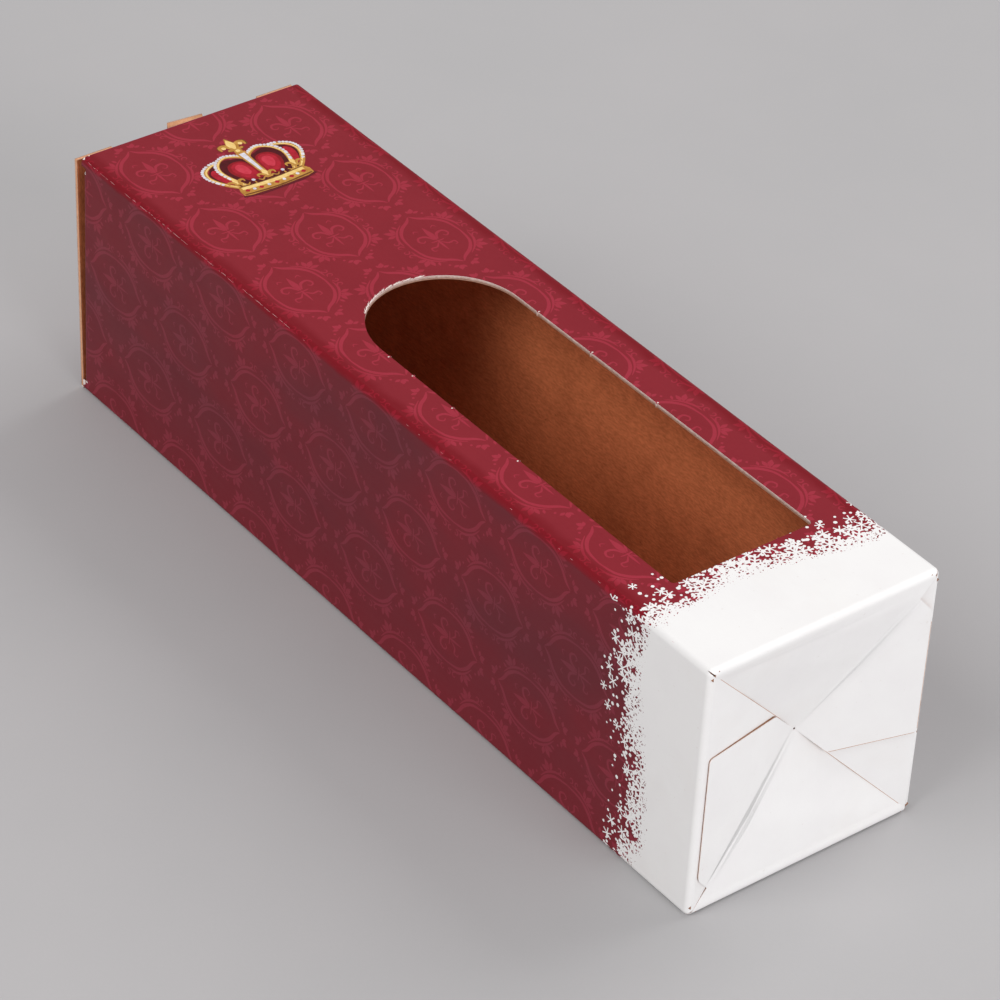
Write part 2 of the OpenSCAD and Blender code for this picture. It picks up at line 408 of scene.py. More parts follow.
gloss = times(SURFACE, calc(SURFACE, "ADD", patches, fibres), ins["Gloss spread"])
SURFACE.links.new(calc(SURFACE, "ADD", ins["Gloss"], gloss), outs["Roughness"])

# %% [markdown]
# ### Two tones in the paper
# Ink and pulp are never one flat colour. Large soft patches drift between two close tones, and the fibres
# pick up the second tone in fine streaks.

# %% Uneven tone
TONES, ins, outs, sheet = group(
    "uneven tone", {"Colour": (0.5, 0.5, 0.5, 1.0), "Second": (0.4, 0.4, 0.4, 1.0), "Patch scale": 40.0,
                    "Patches": 0.5, "Streaks": 0.5}, {"Colour": "Color"})
patches = fade(TONES, noise(TONES, sheet, ins["Patch scale"], 4.0, 0.6), 0.32, 0.68)
streaks = fade(TONES, noise(TONES, stretched(TONES, sheet, 0.35, 1.0), 1500.0, 3.0, 0.6), 0.35, 0.65)
amount = calc(TONES, "ADD", times(TONES, patches, ins["Patches"]),
                   times(TONES, streaks, ins["Streaks"]))
TONES.links.new(blend(TONES, amount, ins["Colour"], ins["Second"]), outs["Colour"])

# %% [markdown]
# ### Folds and sides of the print
# The print is a deeper red in a band along the front's folds. On the side panels it is painted paler and hazier:
# a painted sheen, the pale look that grazing light gives the satin print there. Both follow from v alone; the
# sheen clears in soft patches and towards the back.

# %% Folds and sides
# Node group for the deeper red along the front's folds and the painted sheen on the side panels
FOLD_BAND_AND_SIDE_SHEEN, ins, outs, sheet = group(
    "fold band and painted side sheen", {"Colour": (0.3, 0.04, 0.05, 1.0), "Side": (0.2, 0.05, 0.06, 1.0),
                           "Fold": (0.3, 0.01, 0.02, 1.0), "Rub": 0.5}, {"Colour": "Color"})
across = add(FOLD_BAND_AND_SIDE_SHEEN, "SeparateXYZ", Vector=sheet).outputs[1]
# Distance from the middle line of the front, in metres
middle = calc(FOLD_BAND_AND_SIDE_SHEEN, "ABSOLUTE", calc(FOLD_BAND_AND_SIDE_SHEEN, "SUBTRACT", across, BODY_W / 2000))
on_side = fade(FOLD_BAND_AND_SIDE_SHEEN, middle, (HALF_W + 0.2) / 1000, (HALF_W + 1.6) / 1000)
ragged = times(FOLD_BAND_AND_SIDE_SHEEN, noise(FOLD_BAND_AND_SIDE_SHEEN, sheet, 110.0, 3.0), 0.004)
off_fold = calc(FOLD_BAND_AND_SIDE_SHEEN, "ABSOLUTE", calc(FOLD_BAND_AND_SIDE_SHEEN, "SUBTRACT", middle, (HALF_W - 1.8) / 1000))
near_fold = fade(FOLD_BAND_AND_SIDE_SHEEN, calc(FOLD_BAND_AND_SIDE_SHEEN, "ADD", off_fold, ragged), 0.0035, 0.0065, 1.0, 0.0)
# Where the painted side sheen clears: in soft patches, and towards the back
clear_patches = fade(FOLD_BAND_AND_SIDE_SHEEN, noise(FOLD_BAND_AND_SIDE_SHEEN, stretched(FOLD_BAND_AND_SIDE_SHEEN, sheet, 0.5, 1.0), 26.0, 3.0), 0.38, 0.66)
clearing = times(FOLD_BAND_AND_SIDE_SHEEN, clear_patches, ins["Rub"])
clearing = calc(FOLD_BAND_AND_SIDE_SHEEN, "MAXIMUM", clearing, fade(FOLD_BAND_AND_SIDE_SHEEN, middle, 0.095, 0.143, 0.0, 0.6))
# Painted sheen: the print on the side panels is mixed towards a paler, hazier colour
dull = times(FOLD_BAND_AND_SIDE_SHEEN, on_side, calc(FOLD_BAND_AND_SIDE_SHEEN, "SUBTRACT", 1.0, clearing))
tone = blend(FOLD_BAND_AND_SIDE_SHEEN, dull, ins["Colour"], ins["Side"])
FOLD_BAND_AND_SIDE_SHEEN.links.new(blend(FOLD_BAND_AND_SIDE_SHEEN, near_fold, tone, ins["Fold"]), outs["Colour"])

# %% [markdown]
# ### Marks from handling
# White coated board picks up faint grey smudges and a few brown specks. They are sparse: noise that only
# shows where it is highest.

# %% Handling marks
MARKS, ins, outs, sheet = group(
    "handling marks", {"Colour": (0.9, 0.9, 0.9, 1.0), "Mark": (0.5, 0.4, 0.3, 1.0), "Smudges": 0.2,
                       "Specks": 0.5}, {"Colour": "Color"})
smudges = times(MARKS, fade(MARKS, noise(MARKS, sheet, 30.0, 3.0, 0.6), 0.5, 0.75), ins["Smudges"])
specks = times(MARKS, fade(MARKS, noise(MARKS, sheet, 640.0, 1.0), 0.74, 0.79), ins["Specks"])
amount = calc(MARKS, "MAXIMUM", smudges, specks)
MARKS.links.new(blend(MARKS, amount, ins["Colour"], ins["Mark"]), outs["Colour"])
print("shared effects:", [tree.name for tree in bpy.data.node_groups])

# %% [markdown]
# ## Finishes
# A finish is two close tones, one surface and, where it applies, marks and the print's deeper red along the
# folds with its painted side sheen. The print is satin, the white coated liner is a little duller, and kraft,
# flute and cut edges are matt. The inks of the crown get larger patches of their second tone, so that gold and
# velvet look shaded.

# %% Mix the finishes
FINISH = {}


def finish(name, colour, second, gloss, scale=40.0, patches=0.5, streaks=0.25, fibre=0.25, lines=0.1, grain=0.2,
           depth=0.00003, shine=0.12, fold_band_and_side_sheen=None, marks=None):
    """Material for one ink or paper."""
    material = bpy.data.materials.new(name.replace("_", " "))
    material.use_nodes = True
    tree = material.node_tree
    shader = tree.nodes["Principled BSDF"]
    tone = add(tree, "Group", dict(node_tree=TONES), Colour=srgb(colour), Second=srgb(second), Patch_scale=scale,
               Patches=patches, Streaks=streaks).outputs[0]
    # The painted sheen on the side panels, and the deeper red along the front's folds
    if fold_band_and_side_sheen:
        side, fold, clearing = fold_band_and_side_sheen
        tone = add(tree, "Group", dict(node_tree=FOLD_BAND_AND_SIDE_SHEEN), Colour=tone, Side=srgb(side), Fold=srgb(fold),
                   Rub=clearing).outputs[0]
    if marks:
        mark, smudges, specks = marks
        tone = add(tree, "Group", dict(node_tree=MARKS), Colour=tone, Mark=srgb(mark), Smudges=smudges,
                   Specks=specks).outputs[0]
    surface = add(tree, "Group", dict(node_tree=SURFACE), Fibre=fibre, Flute_lines=lines, Grain=grain, Gloss=gloss,
                  Gloss_spread=0.05)
    bump = add(tree, "Bump", Strength=1.0, Distance=depth, Height=surface.outputs["Height"])
    tree.links.new(tone, shader.inputs["Base Color"])
    tree.links.new(surface.outputs["Roughness"], shader.inputs["Roughness"])
    tree.links.new(bump.outputs[0], shader.inputs["Normal"])
    shader.inputs["Specular IOR Level"].default_value = shine
    FINISH[name] = material


# %% Papers and inks
# Second colours: the print's painted sheen on the side panels, its deeper red along the folds, and how much of the
# sheen clears in patches
finish("burgundy", "#801D28", "#89222D", 0.42, fold_band_and_side_sheen=("#68272F", "#780E1B", 0.5))
finish("rose", "#992838", "#A12E3F", 0.40, fold_band_and_side_sheen=("#75303B", "#8C1526", 0.5))
finish("white", "#F0EFEE", "#EBE9E9", 0.58, patches=0.6, streaks=0.1, lines=0.12, shine=0.16,
       marks=("#D6CCC6", 0.12, 0.3))
finish("kraft", "#DC8355", "#B26640", 0.80, 170.0, 0.35, 0.65, 0.7, 0.25, 0.4, 0.00008, marks=("#7A4020", 0.3, 0.5))
# Cut edges: two tones, gloss, size and strength of the patches, streaks, fibre, flute lines, grain
for name, *look in (("flute", "#A4765A", "#875C42", 0.85, 200.0, 0.5, 0.5, 0.6, 0.1, 0.3),
                    ("cut", "#D2AC98", "#B48A72", 0.80, 700.0, 0.7, 0.4, 0.7, 0.1, 0.5),
                    ("rim", "#E4D0C8", "#BE9C8C", 0.75, 600.0, 0.6, 0.4, 0.7, 0.1, 0.5),
                    ("edge", "#F2E8E4", "#DCC8C0", 0.70, 700.0, 0.6, 0.3, 0.7, 0.1, 0.5),
                    ("crack", "#DDB9B8", "#C28A8C", 0.75, 900.0, 0.6, 0.4, 0.8, 0.1, 0.5),
                    ("tan", "#F2B48A", "#DC9C70", 0.85, 600.0, 0.5, 0.4, 0.7, 0.2, 0.4)):
    finish(name, *look, depth=0.00006)
# A painted sheen: pale lilac for the light caught along the front's edge at the mouth
finish("haze", "#9A7486", "#84465A", 0.45, 300.0, 0.7)
for name, *tones in (("gold", "#CB994C", "#AC7830"), ("gold_light", "#F3D792", "#E2B96A"),
                     ("gold_dark", "#7C4C20", "#623614"), ("ruby", "#B82033", "#981424"),
                     ("ruby_deep", "#96121E", "#84101A"), ("ruby_light", "#CE4052", "#BE2C3E"),
                     ("ruby_dark", "#43090F", "#560D16"), ("pearl", "#E6E4EA", "#C4C0CC"),
                     ("shade", "#551019", "#661620")):
    finish(name, *tones, 0.38, 420.0, 0.9, 0.2)
print("finishes:", len(FINISH))

# %% [markdown]
# ## Drawing with outlines
# A scroll or leaf in print is a stroke whose width changes. A stroke starts as a few points on its middle
# line; a smooth curve goes through them, and the outline is laid off at both sides.

# %% Strokes, curls and leaves
def smooth_line(points, steps):
    """Curve through the points, with a few steps between each pair."""
    ends = [points[0]] + list(points) + [points[-1]]
    line = []
    for p0, p1, p2, p3 in zip(ends, ends[1:], ends[2:], ends[3:]):
        for k in range(steps):
            t = k / steps
            line.append(tuple(
                0.5 * (2 * b + (c - a) * t + (2 * a - 5 * b + 4 * c - d) * t * t + (3 * b - a - 3 * c + d) * t ** 3)
                for a, b, c, d in zip(p0, p1, p2, p3)))
    return line + [tuple(points[-1])]


def stroke(points, widths, steps=3):
    """Closed outline of a stroke: each point (a, b) of its middle line has its own width."""
    line = smooth_line([(*p, w) for p, w in zip(points, widths)], steps)
    left, right = [], []
    for i, (a, b, w) in enumerate(line):
        a0, b0, _ = line[max(0, i - 1)]
        a1, b1, _ = line[min(len(line) - 1, i + 1)]
        run = math.hypot(a1 - a0, b1 - b0) or 1.0
        na, nb = -(b1 - b0) / run * w / 2, (a1 - a0) / run * w / 2
        left.append((a + na, b + nb))
        right.append((a - na, b - nb))
    return left + right[::-1]


def curl(a, b, start, turn, radius, thick):
    """A round curl like a fern's tip: it winds in from start degrees by turn degrees."""
    steps = 7
    points, widths = [], []
    for k in range(steps):
        t = k / (steps - 1)
        way = math.radians(start + turn * t)
        r = radius * (1 - 0.72 * t)
        points.append((a + r * math.cos(way), b + r * math.sin(way)))
        widths.append(thick * (0.45 + 0.55 * math.sin(math.pi * min(1, 0.15 + t))) + 0.05)
    return stroke(points, widths, 2)


def disc(a, b, r, n=8):
    """Round dot."""
    return [(a + r * math.cos(2 * math.pi * k / n), b + r * math.sin(2 * math.pi * k / n)) for k in range(n)]


def leaf(a, b, way, length, belly):
    """Pointed leaf from its foot at (a, b)."""
    c, s = math.cos(math.radians(way)), math.sin(math.radians(way))
    half = [(0, 0.12), (0.3, 0.45), (0.55, 0.5), (0.8, 0.25), (1, 0)]
    side = [(t * length, w * belly) for t, w in half]
    loop = side + [(x, -y) for x, y in side[-2::-1]]
    return [(a + x * c - y * s, b + x * s + y * c) for x, y in loop]


def mirrored(loop):
    """The same outline on the other side of the middle line."""
    return [(-a, b) for a, b in loop]


def upside_down(loop):
    """The same outline upside down."""
    return [(a, -b) for a, b in loop]


# %% [markdown]
# ## The tone-on-tone ornament
# The real print is a classic damask: pointed medallions in staggered rows, in a burgundy one shade lighter.
# This one is drawn from scratch: a pointed frame of swelling strokes, leaves and curls at its sides, a small
# bud pair above and below, and a lily in the middle.

# %% Draw one medallion
def medallion():
    """Outlines of one medallion, as (a, b) in mm from its centre: a across the panel, b towards the lid."""
    quarter = [
        stroke([(0.2, 15.9), (2.2, 13.6), (6.2, 10.9), (9.3, 6.4), (10.2, 0.0)], [0.3, 1.15, 1.35, 1.0, 0.6]),
        stroke([(5.2, 13.3), (8.8, 10.2), (11.3, 6.0), (11.7, 2.0)], [0.2, 0.75, 0.9, 0.2]),
        leaf(10.0, 9.4, 40, 4.1, 2.0), leaf(10.5, 8.7, -4, 3.3, 1.6), leaf(9.6, 10.0, 84, 3.3, 1.6),
        leaf(7.6, 12.0, 66, 2.2, 1.0),
        curl(13.3, 4.6, 170, 290, 1.3, 0.5), curl(13.5, 1.5, 190, -290, 1.35, 0.5),
        leaf(2.2, 17.3, 60, 2.9, 1.9), leaf(3.0, 17.0, 6, 2.3, 1.3), leaf(1.9, 17.5, 112, 2.0, 1.1),
        disc(5.6, 15.4, 0.5, 6),
    ]
    stem = [
        stroke([(0, -7.6), (0, -3.6), (0, -0.9)], [0.2, 0.9, 0.55]),
        stroke([(0, -0.5), (0, 3.0), (0, 8.0)], [0.6, 2.3, 0.1]),
        leaf(0, 1.2, 90, 3.6, 0.5),
    ]
    petals = [
        stroke([(0.7, -0.3), (2.2, 2.7), (4.9, 3.3), (6.0, 1.3), (4.8, 0.0), (3.7, 0.9)],
               [0.4, 1.05, 0.9, 0.7, 0.5, 0.3]),
        stroke([(0.6, -2.2), (2.4, -4.2), (4.6, -4.0), (4.9, -5.8), (3.7, -6.1)], [0.3, 0.75, 0.6, 0.45, 0.25]),
        stroke([(0.0, -1.3), (1.5, -1.3), (2.6, -1.1)], [0.5, 0.5, 0.35]),
        stroke([(2.6, 6.6), (4.0, 7.4), (4.6, 6.2)], [0.2, 0.5, 0.2]),
    ]
    loops = []
    for loop in quarter:
        loops += [loop, mirrored(loop), upside_down(loop), mirrored(upside_down(loop))]
    for loop in petals:
        loops += [loop, mirrored(loop)]
    return loops + stem


MEDALLION = medallion()
ROW_U, ROW_V = 43.0, 56.0
# Centre of the first medallion, and how far one reaches from its centre
FIRST_U, FIRST_V, REACH_U, REACH_V = 21.2, 16.0, 22, 18
print("medallion:", len(MEDALLION), "outlines,", sum(len(loop) for loop in MEDALLION), "points")


def medallions(u_low, u_high, v_low, v_high):
    """The staggered rows of medallions that reach into one part of the sheet."""
    prints = []
    for column in range(-8, 9):
        v = FIRST_V + column * ROW_V / 2
        for row in range(-2, 8):
            u = FIRST_U + row * ROW_U + (ROW_U / 2 if column % 2 else 0)
            if u_low - REACH_U < u < u_high + REACH_U and v_low - REACH_V < v < v_high + REACH_V:
                prints += [([(u - b, v + a) for a, b in loop], "rose") for loop in MEDALLION]
    return prints


# %% [markdown]
# ## Snow at the bottom end
# Towards the bottom the burgundy breaks up into snow: big six-armed flakes lean on a white bank, smaller ones
# and small crumbs float above it. Every flake is one outline. The bank is a wavy line round the carton, and a
# fixed seed lays the flakes out the same way each time.

# %% Draw the snow
def flake(u, v, r, turn):
    """Outline of a six-armed flake: big ones have two pairs of twigs on each arm, small ones have none."""
    s = 0.15 + 0.03 * r
    twigs = ((0.34, 0.3), (0.66, 0.24)) if r > 3.9 else ((0.52, 0.3),) if r > 2.8 else ()
    arm = [(1.9 * s, s)]
    for root, size in twigs:
        at, reach, c = root * r, size * r, 1.8 * s
        arm += [(at, s), (at + 0.5 * reach, s + 0.87 * reach), (at + 0.5 * reach + c, s + 0.87 * reach - 0.3 * c),
                (at + 1.3 * c, s)]
    arm += [(0.8 * r, s), (r, 1.35 * s)]
    arm += [(x, -y) for x, y in reversed(arm)]
    loop = []
    for k in range(6):
        c, w = math.cos(turn + k * math.pi / 3), math.sin(turn + k * math.pi / 3)
        loop += [(u + x * c + y * w, v + x * w - y * c) for x, y in arm]
    return loop


def crumb(u, v, r, turn):
    """A small round crumb of snow."""
    return [(u + r * math.cos(turn + k), v + r * math.sin(turn + k)) for k in range(6)]


# %% Lay the snow round the carton
# The bank's edge as (v, u), all the way round
BANK = smooth_line([
    (-192, 314), (-176, 311), (-160, 312), (-142, 317), (-122, 315), (-97, 314), (-85, 317.5), (-73, 318.8),
    (-60, 316.5), (-50, 314.5), (-30, 311.3), (-15, 310.4), (-5, 312.5), (2, 314.5), (10, 313.5), (30, 310.4),
    (45, 310.8), (60, 313.3), (80, 318), (96, 317), (112, 313), (130, 310.5), (150, 314), (170, 317.5),
    (194, 314)], 4)
print("snow starts, mm from the mouth:", min(u for _, u in BANK), "to", max(u for _, u in BANK))


def snow_line(v):
    """Where the snow bank starts, in mm from the mouth."""
    for (v0, u0), (v1, u1) in zip(BANK, BANK[1:]):
        if v <= v1:
            return u0 + (u1 - u0) * (v - v0) / (v1 - v0)
    return BANK[-1][1]


def snow(v_low, v_high):
    """The white end of one panel with its flakes and crumbs."""
    steps = int((v_high - v_low) / 2) + 1
    edge = [v_low + (v_high - v_low) * k / steps for k in range(steps + 1)]
    bank = [(snow_line(v) + 0.4, v) for v in edge] + [(BODY_LEN + 4, v_high), (BODY_LEN + 4, v_low)]
    prints = [(bank, "white")]
    dice = random.Random(int(v_low * 10) + 5007)
    # shape, its spacing along the bank, least and greatest height over the bank, least and greatest radius
    layers = (
        (flake, 11.0, 3.4, 5.4, 4.8, 6.0), (flake, 4.6, 0.8, 3.0, 3.1, 4.4), (flake, 2.6, 0.0, 1.4, 1.8, 2.8),
        (flake, 0.9, -0.8, 0.3, 1.0, 1.6), (flake, 6.0, 6.5, 12.0, 2.0, 3.0), (flake, 9.0, 10.0, 20.0, 1.4, 2.4),
        (crumb, 0.7, 4.5, 11.0, 0.45, 0.82), (crumb, 1.3, 9.0, 17.0, 0.45, 0.78), (crumb, 6.0, 14.0, 21.0, 0.4, 0.6))
    for shape, spacing, near, far, small, big in layers:
        v = v_low + spacing * dice.random()
        while v < v_high:
            rise = dice.uniform(near, far) if shape is flake else near + (far - near) * dice.random() ** 1.4
            prints.append((shape(snow_line(v) - rise, v, dice.uniform(small, big), dice.uniform(0, 2)), "white"))
            v += spacing * dice.uniform(0.4, 1.6)
    return prints


# %% [markdown]
# ## A crown for the front
# Above the window the real carton carries a crown in gold, red and white. The crown is a common heraldic
# sign, so it stays, but as a plain one of its own: flat fields of colour for the band, the lilies, the
# arches with their pearls and the velvet cap, each laid over the one before.

# %% Draw the crown
CROWN_U, CROWN_V, SQUEEZE = 50.9, 47.8, 0.95
# The crown's band sags in the middle
BAND_BEND = 0.0052


def lily(a, b, r):
    """A small lily standing at (a, b), r mm tall."""
    side = stroke([(0.1, 0.35), (0.26, 0.62), (0.5, 0.62), (0.52, 0.4)], [0.14, 0.2, 0.15, 0.07])
    loops = [
        stroke([(0, 0.25), (0, 0.62), (0, 1.05)], [0.16, 0.36, 0.02]),
        side, mirrored(side),
        stroke([(-0.32, 0.3), (0, 0.26), (0.32, 0.3)], [0.1, 0.16, 0.1]),
    ]
    return [[(a + x * r, b + y * r) for x, y in loop] for loop in loops]


def crown():
    """Outlines and inks of the crown, as (a, b) in mm from the middle of its foot: b points to the lid."""
    prints = []

    def lay(ink, *loops):
        prints.extend((loop, ink) for loop in loops)

    def both(loop):
        return loop, mirrored(loop)

    lay("shade", [(-16, -0.4), (-9, -1.9), (9, -1.9), (16, -0.4), (15, 2), (-15, 2)])
    lay("ruby_dark", [(-14, 4), (-17.6, 10), (-18.9, 17), (-15.5, 21.6), (-8, 23), (-2, 21), (2, 21), (8, 23),
                      (15.5, 21.6), (18.9, 17), (17.6, 10), (14, 4)])
    velvet = (
        ("ruby_deep", (1.6, 7.4), (1.1, 13.0), (2.6, 18.9), (6.2, 20.3), (9.6, 18.8), (10.8, 14.6), (9.0, 9.8),
         (6.6, 7.2)),
        ("ruby", (2.3, 9.4), (2.2, 14.0), (3.4, 18.4), (6.2, 19.4), (8.8, 17.6), (9.4, 14.2), (7.8, 10.2), (5.4, 8.4)),
        ("ruby_light", (3.6, 12.4), (3.8, 16.6), (5.8, 18.2), (7.8, 16.6), (7.4, 13.4), (5.4, 11.0)),
        ("ruby", (13.0, 8.6), (14.2, 13.0), (13.9, 17.6), (15.6, 19.6), (17.6, 17.4), (17.2, 13.2), (15.0, 9.0)))
    for ink, *shape in velvet:
        lay(ink, *both(smooth_line(shape + shape[:1], 3)[:-1]))
    arches = (
        [(13.4, 5.8), (17.4, 10.4), (19.6, 15.6), (18.6, 20.0), (14.6, 22.6), (10.4, 23.2)],
        [(11.0, 6.2), (12.9, 11.4), (13.9, 17.4), (11.8, 22.2), (7.4, 24.6), (3.0, 23.0), (1.2, 21.2)])
    for arch in arches:
        lay("gold", *both(stroke(arch, [1.9] * len(arch))))
        lay("gold_light", *both(stroke([(x - 0.35, y - 0.2) for x, y in arch], [0.6] * len(arch))))
        line = smooth_line(arch, 8)
        beads, walked = [], 0.0
        for last, spot in zip(line, line[1:]):
            walked += math.dist(spot, last)
            if walked > 1.25 * (len(beads) + 1):
                beads.append(spot)
        for x, y in beads[3:-1]:
            out, top = x + 0.75 * (x - 8) / 11, y + 0.62
            lay("pearl", disc(out, top, 0.66), disc(-out, top, 0.66))
    lay("gold", stroke([(0, 6.0), (0, 15.0), (0, 24.6)], [2.4, 2.7, 4.2]))
    lay("pearl", stroke([(0, 9.5), (0, 16.0), (0, 23.6)], [1.0, 1.5, 2.4]))
    lay("gold_dark", stroke([(0, 24.2), (0, 26.0), (0, 28.2)], [2.6, 1.1, 1.2]), *lily(0.1, 23.7, 10.6))
    lay("gold", *lily(0, 24.2, 9.8))
    lay("gold_light", leaf(0, 27.2, 90, 6.4, 3.2), disc(-3.6, 29.4, 0.9), disc(3.6, 29.4, 0.9))
    lay("gold", disc(0, 25.4, 1.7))
    lay("gold_light", disc(0, 25.7, 0.9))
    band = [(-13.9, 6.2), (-15.2, 0.6), (-8, -0.35), (0, -0.6), (8, -0.35), (15.2, 0.6), (13.9, 6.2), (7, 5.4),
            (0, 5.2), (-7, 5.4)]
    lay("gold", smooth_line(band + band[:1], 2)[:-1])
    lay("gold_light", stroke([(-13.4, 4.7), (0, 3.9), (13.4, 4.7)], [1.6, 2.3, 1.6]))
    lay("gold_dark", stroke([(-14.6, 1.0), (0, -0.1), (14.6, 1.0)], [0.7, 0.8, 0.7]),
        stroke([(-13.8, 5.7), (0, 4.9), (13.8, 5.7)], [0.45, 0.45, 0.45]))
    for a in (-12.2, -6.6, 0.0, 6.6, 12.2):
        low = 2.1 + BAND_BEND * a * a
        lay("ruby", [(a - 1.15, low), (a, low + 0.95), (a + 1.15, low), (a, low - 0.95)])
    for a in (-9.4, -3.3, 3.3, 9.4):
        lay("pearl", disc(a, 2.2 + BAND_BEND * a * a, 0.72))
    for a, tall in ((-12.6, 6.2), (0.0, 6.6), (12.6, 6.2)):
        core, *rest = lily(a, 5.0 + 0.006 * a * a, tall)
        lay("gold_light", core)
        lay("gold", *rest)
    for a in (-6.4, 6.4):
        lay("gold", stroke([(a, 5.2), (a, 6.6)], [0.7, 0.5]))
        lay("pearl", disc(a, 7.5, 0.75))
    lay("gold", *(stroke([(a - 1.3, 7.0), (a, 5.9), (a + 1.3, 7.0)], [0.4, 0.7, 0.4]) for a in (-9.6, -3.2, 3.2, 9.6)))
    return [([(CROWN_U - b, CROWN_V + SQUEEZE * a) for a, b in loop], ink) for loop, ink in prints]


CROWN = crown()
print("crown:", len(CROWN), "outlines")

# %% [markdown]
# ## Where the print has cracked
# Coated paper cracks where it is folded over a tight radius, and the white fibre shows as a broken line of
# specks. They are thin slivers along the middle of a fold, longer and closer near the mouth, where the
# carton has been handled most.

# %% Scatter the cracks
# The stretch from the mouth that has been handled most, in mm
HANDLED = 120


def cracks(fold, seed, length=FOLD_END, busy=1.0):
    """Pale slivers along one fold."""
    dice = random.Random(seed)
    prints, u = [], 3.0
    while u < length - 6:
        long = dice.uniform(0.6, 4.5) if u < HANDLED else dice.uniform(0.4, 1.4)
        if dice.random() < busy * (0.9 if u < HANDLED else 0.25):
            v, wide = fold + dice.uniform(-0.15, 0.25), dice.uniform(0.06, 0.16)
            prints.append((stroke([(u, v), (u + 0.5 * long, v + dice.uniform(-0.1, 0.1)), (u + long, v)],
                                  [0.05, wide, 0.05], 2), "crack"))
        u += long + (dice.uniform(0.2, 1.6) if u < HANDLED else dice.uniform(1.0, 6.0))
    return prints


def frayed(seed):
    """Torn fibres along the round end of the window, where the die was blunt."""
    dice = random.Random(seed)
    prints = []
    for _ in range(70):
        way = math.pi * dice.uniform(0.24, 0.6)
        lean, long = dice.uniform(0.01, 0.05), dice.uniform(0.3, 1.0)
        ends = ((WIN_R + 0.16, way - lean), (WIN_R + 0.5 * long, way), (WIN_R + long, way + lean))
        prints.append((stroke([(WIN_ARCH - r * math.sin(w), HALF_W - r * math.cos(w)) for r, w in ends],
                              [0.26, 0.22, 0.05], 2), "edge"))
    return prints


def torn(u, v, r, seed, ink="edge"):
    """Ragged spot where the print has torn off."""
    dice = random.Random(seed)
    spot = [(u + r * dice.uniform(0.45, 1.0) * math.cos(math.pi * k / 6),
             v + r * dice.uniform(0.35, 1.0) * math.sin(math.pi * k / 6)) for k in range(12)]
    return [(spot, ink)]


# %% [markdown]
# ## The four panels
# Each panel is a piece of its own with the fold on one side of it, so that its print stays sharp when the
# model is exported. The cut goes where a fold runs out into the flat panel, and the smooth normals are
# worked out from the fold itself, so no line shows there.

# %% The window and its nicks
# How far the sheet runs past the bottom's fold, past the dust flaps' fold, and to the tip of these flaps
OVER = FOLD_END + 2 * FOLD_R
DUST_TOP = ROOT - 2 * FOLD_R
TIP = DUST_TOP - (HALF_W - FOLD_R - 6.0)


def window_edge():
    """Outline of the window in the sheet: an arch at the lid end and a square end."""
    steps, r = 60, 1.5
    arch = [(WIN_ARCH - WIN_R * math.sin(math.pi * k / steps), HALF_W - WIN_R * math.cos(math.pi * k / steps))
            for k in range(steps + 1)]
    ends = []
    for side in (1, -1):
        for k in (range(5) if side > 0 else range(4, -1, -1)):
            a = math.pi / 2 * k / 4
            ends.append((WIN_END - r + r * math.sin(a), HALF_W + side * (WIN_R - r + r * math.cos(a))))
    return arch + ends


def nicked(loop, nicks, reach=0.45, wide=0.9):
    """The window's edge with the small bridges that the die left, torn through."""
    out = []
    for a, b in zip(loop, loop[1:] + loop[:1]):
        out.append(a)
        run = math.dist(a, b)
        for spot in sorted(nicks, key=lambda spot: math.dist(spot, a)):
            t = ((spot[0] - a[0]) * (b[0] - a[0]) + (spot[1] - a[1]) * (b[1] - a[1])) / run ** 2
            foot = (a[0] + t * (b[0] - a[0]), a[1] + t * (b[1] - a[1]))
            if wide / run < t < 1 - wide / run and math.dist(foot, spot) < 2:
                du, dv = (b[0] - a[0]) / run, (b[1] - a[1]) / run
                for along, into in ((-0.5, 0), (-0.3, 0.8), (0.05, 1.0), (0.28, 0.7), (0.5, 0)):
                    out.append((foot[0] + du * along * wide + dv * into * reach,
                                foot[1] + dv * along * wide - du * into * reach))
    return out


NICKS = [(154.8, 18), (167.7, 18), (189, 18), (223.4, 18), (160.8, 74), (189.1, 74), (223.1, 74), (299.9, 60)]
WINDOW = nicked(window_edge(), NICKS)


# %% Outlines of the panels
# The root and the edge of the glue flap
SEAM_IN, SEAM_OUT = TURN - 0.1, TURN + 16.6


def fold_corner(fold, way, cut):
    """Edge of an end fold at a corner of the bottom: it runs into the corner and stops at the flap's slit."""
    return [(FOLD_END, fold + way * 0.05), (FOLD_END + 2.8, fold + way * 0.5), (OVER, fold + way * cut)]


LOW = -BODY_D
# Outline of a dust flap as u and the distance down from the front's fold; one side is the other's mirror image
DUST = [(0, 3.0), (ROOT, 3.0), (ROOT, BODY_D - DUST_HIGH), (DUST_TOP, BODY_D - DUST_HIGH), (TIP, 13.5),
        (TIP, BODY_D - 12), (DUST_TOP, BODY_D - DUST_LOW), (ROOT, BODY_D - DUST_LOW), (ROOT, BODY_D - 4.5),
        (0, BODY_D - 4.5)]
LEFT_DUST = [(u, -down) for u, down in DUST]
RIGHT_DUST = [(u, BODY_W + down) for u, down in reversed(DUST)]
CORNERS_AT = {"front left": fold_corner(0, 1, 2.2), "front right": fold_corner(BODY_W, -1, 2.2)[::-1],
              "left low": fold_corner(LOW, 1, 2.6), "left high": fold_corner(0, -1, 2.8)[::-1],
              "right high": fold_corner(BODY_W, 1, 2.6), "back left": fold_corner(LOW, -1, 2.2)[::-1]}
FRONT = [(0, -FOLD_R), (FOLD_END, -FOLD_R), *CORNERS_AT["front left"], *CORNERS_AT["front right"],
         (FOLD_END, BODY_W + FOLD_R), (0, BODY_W + FOLD_R)]
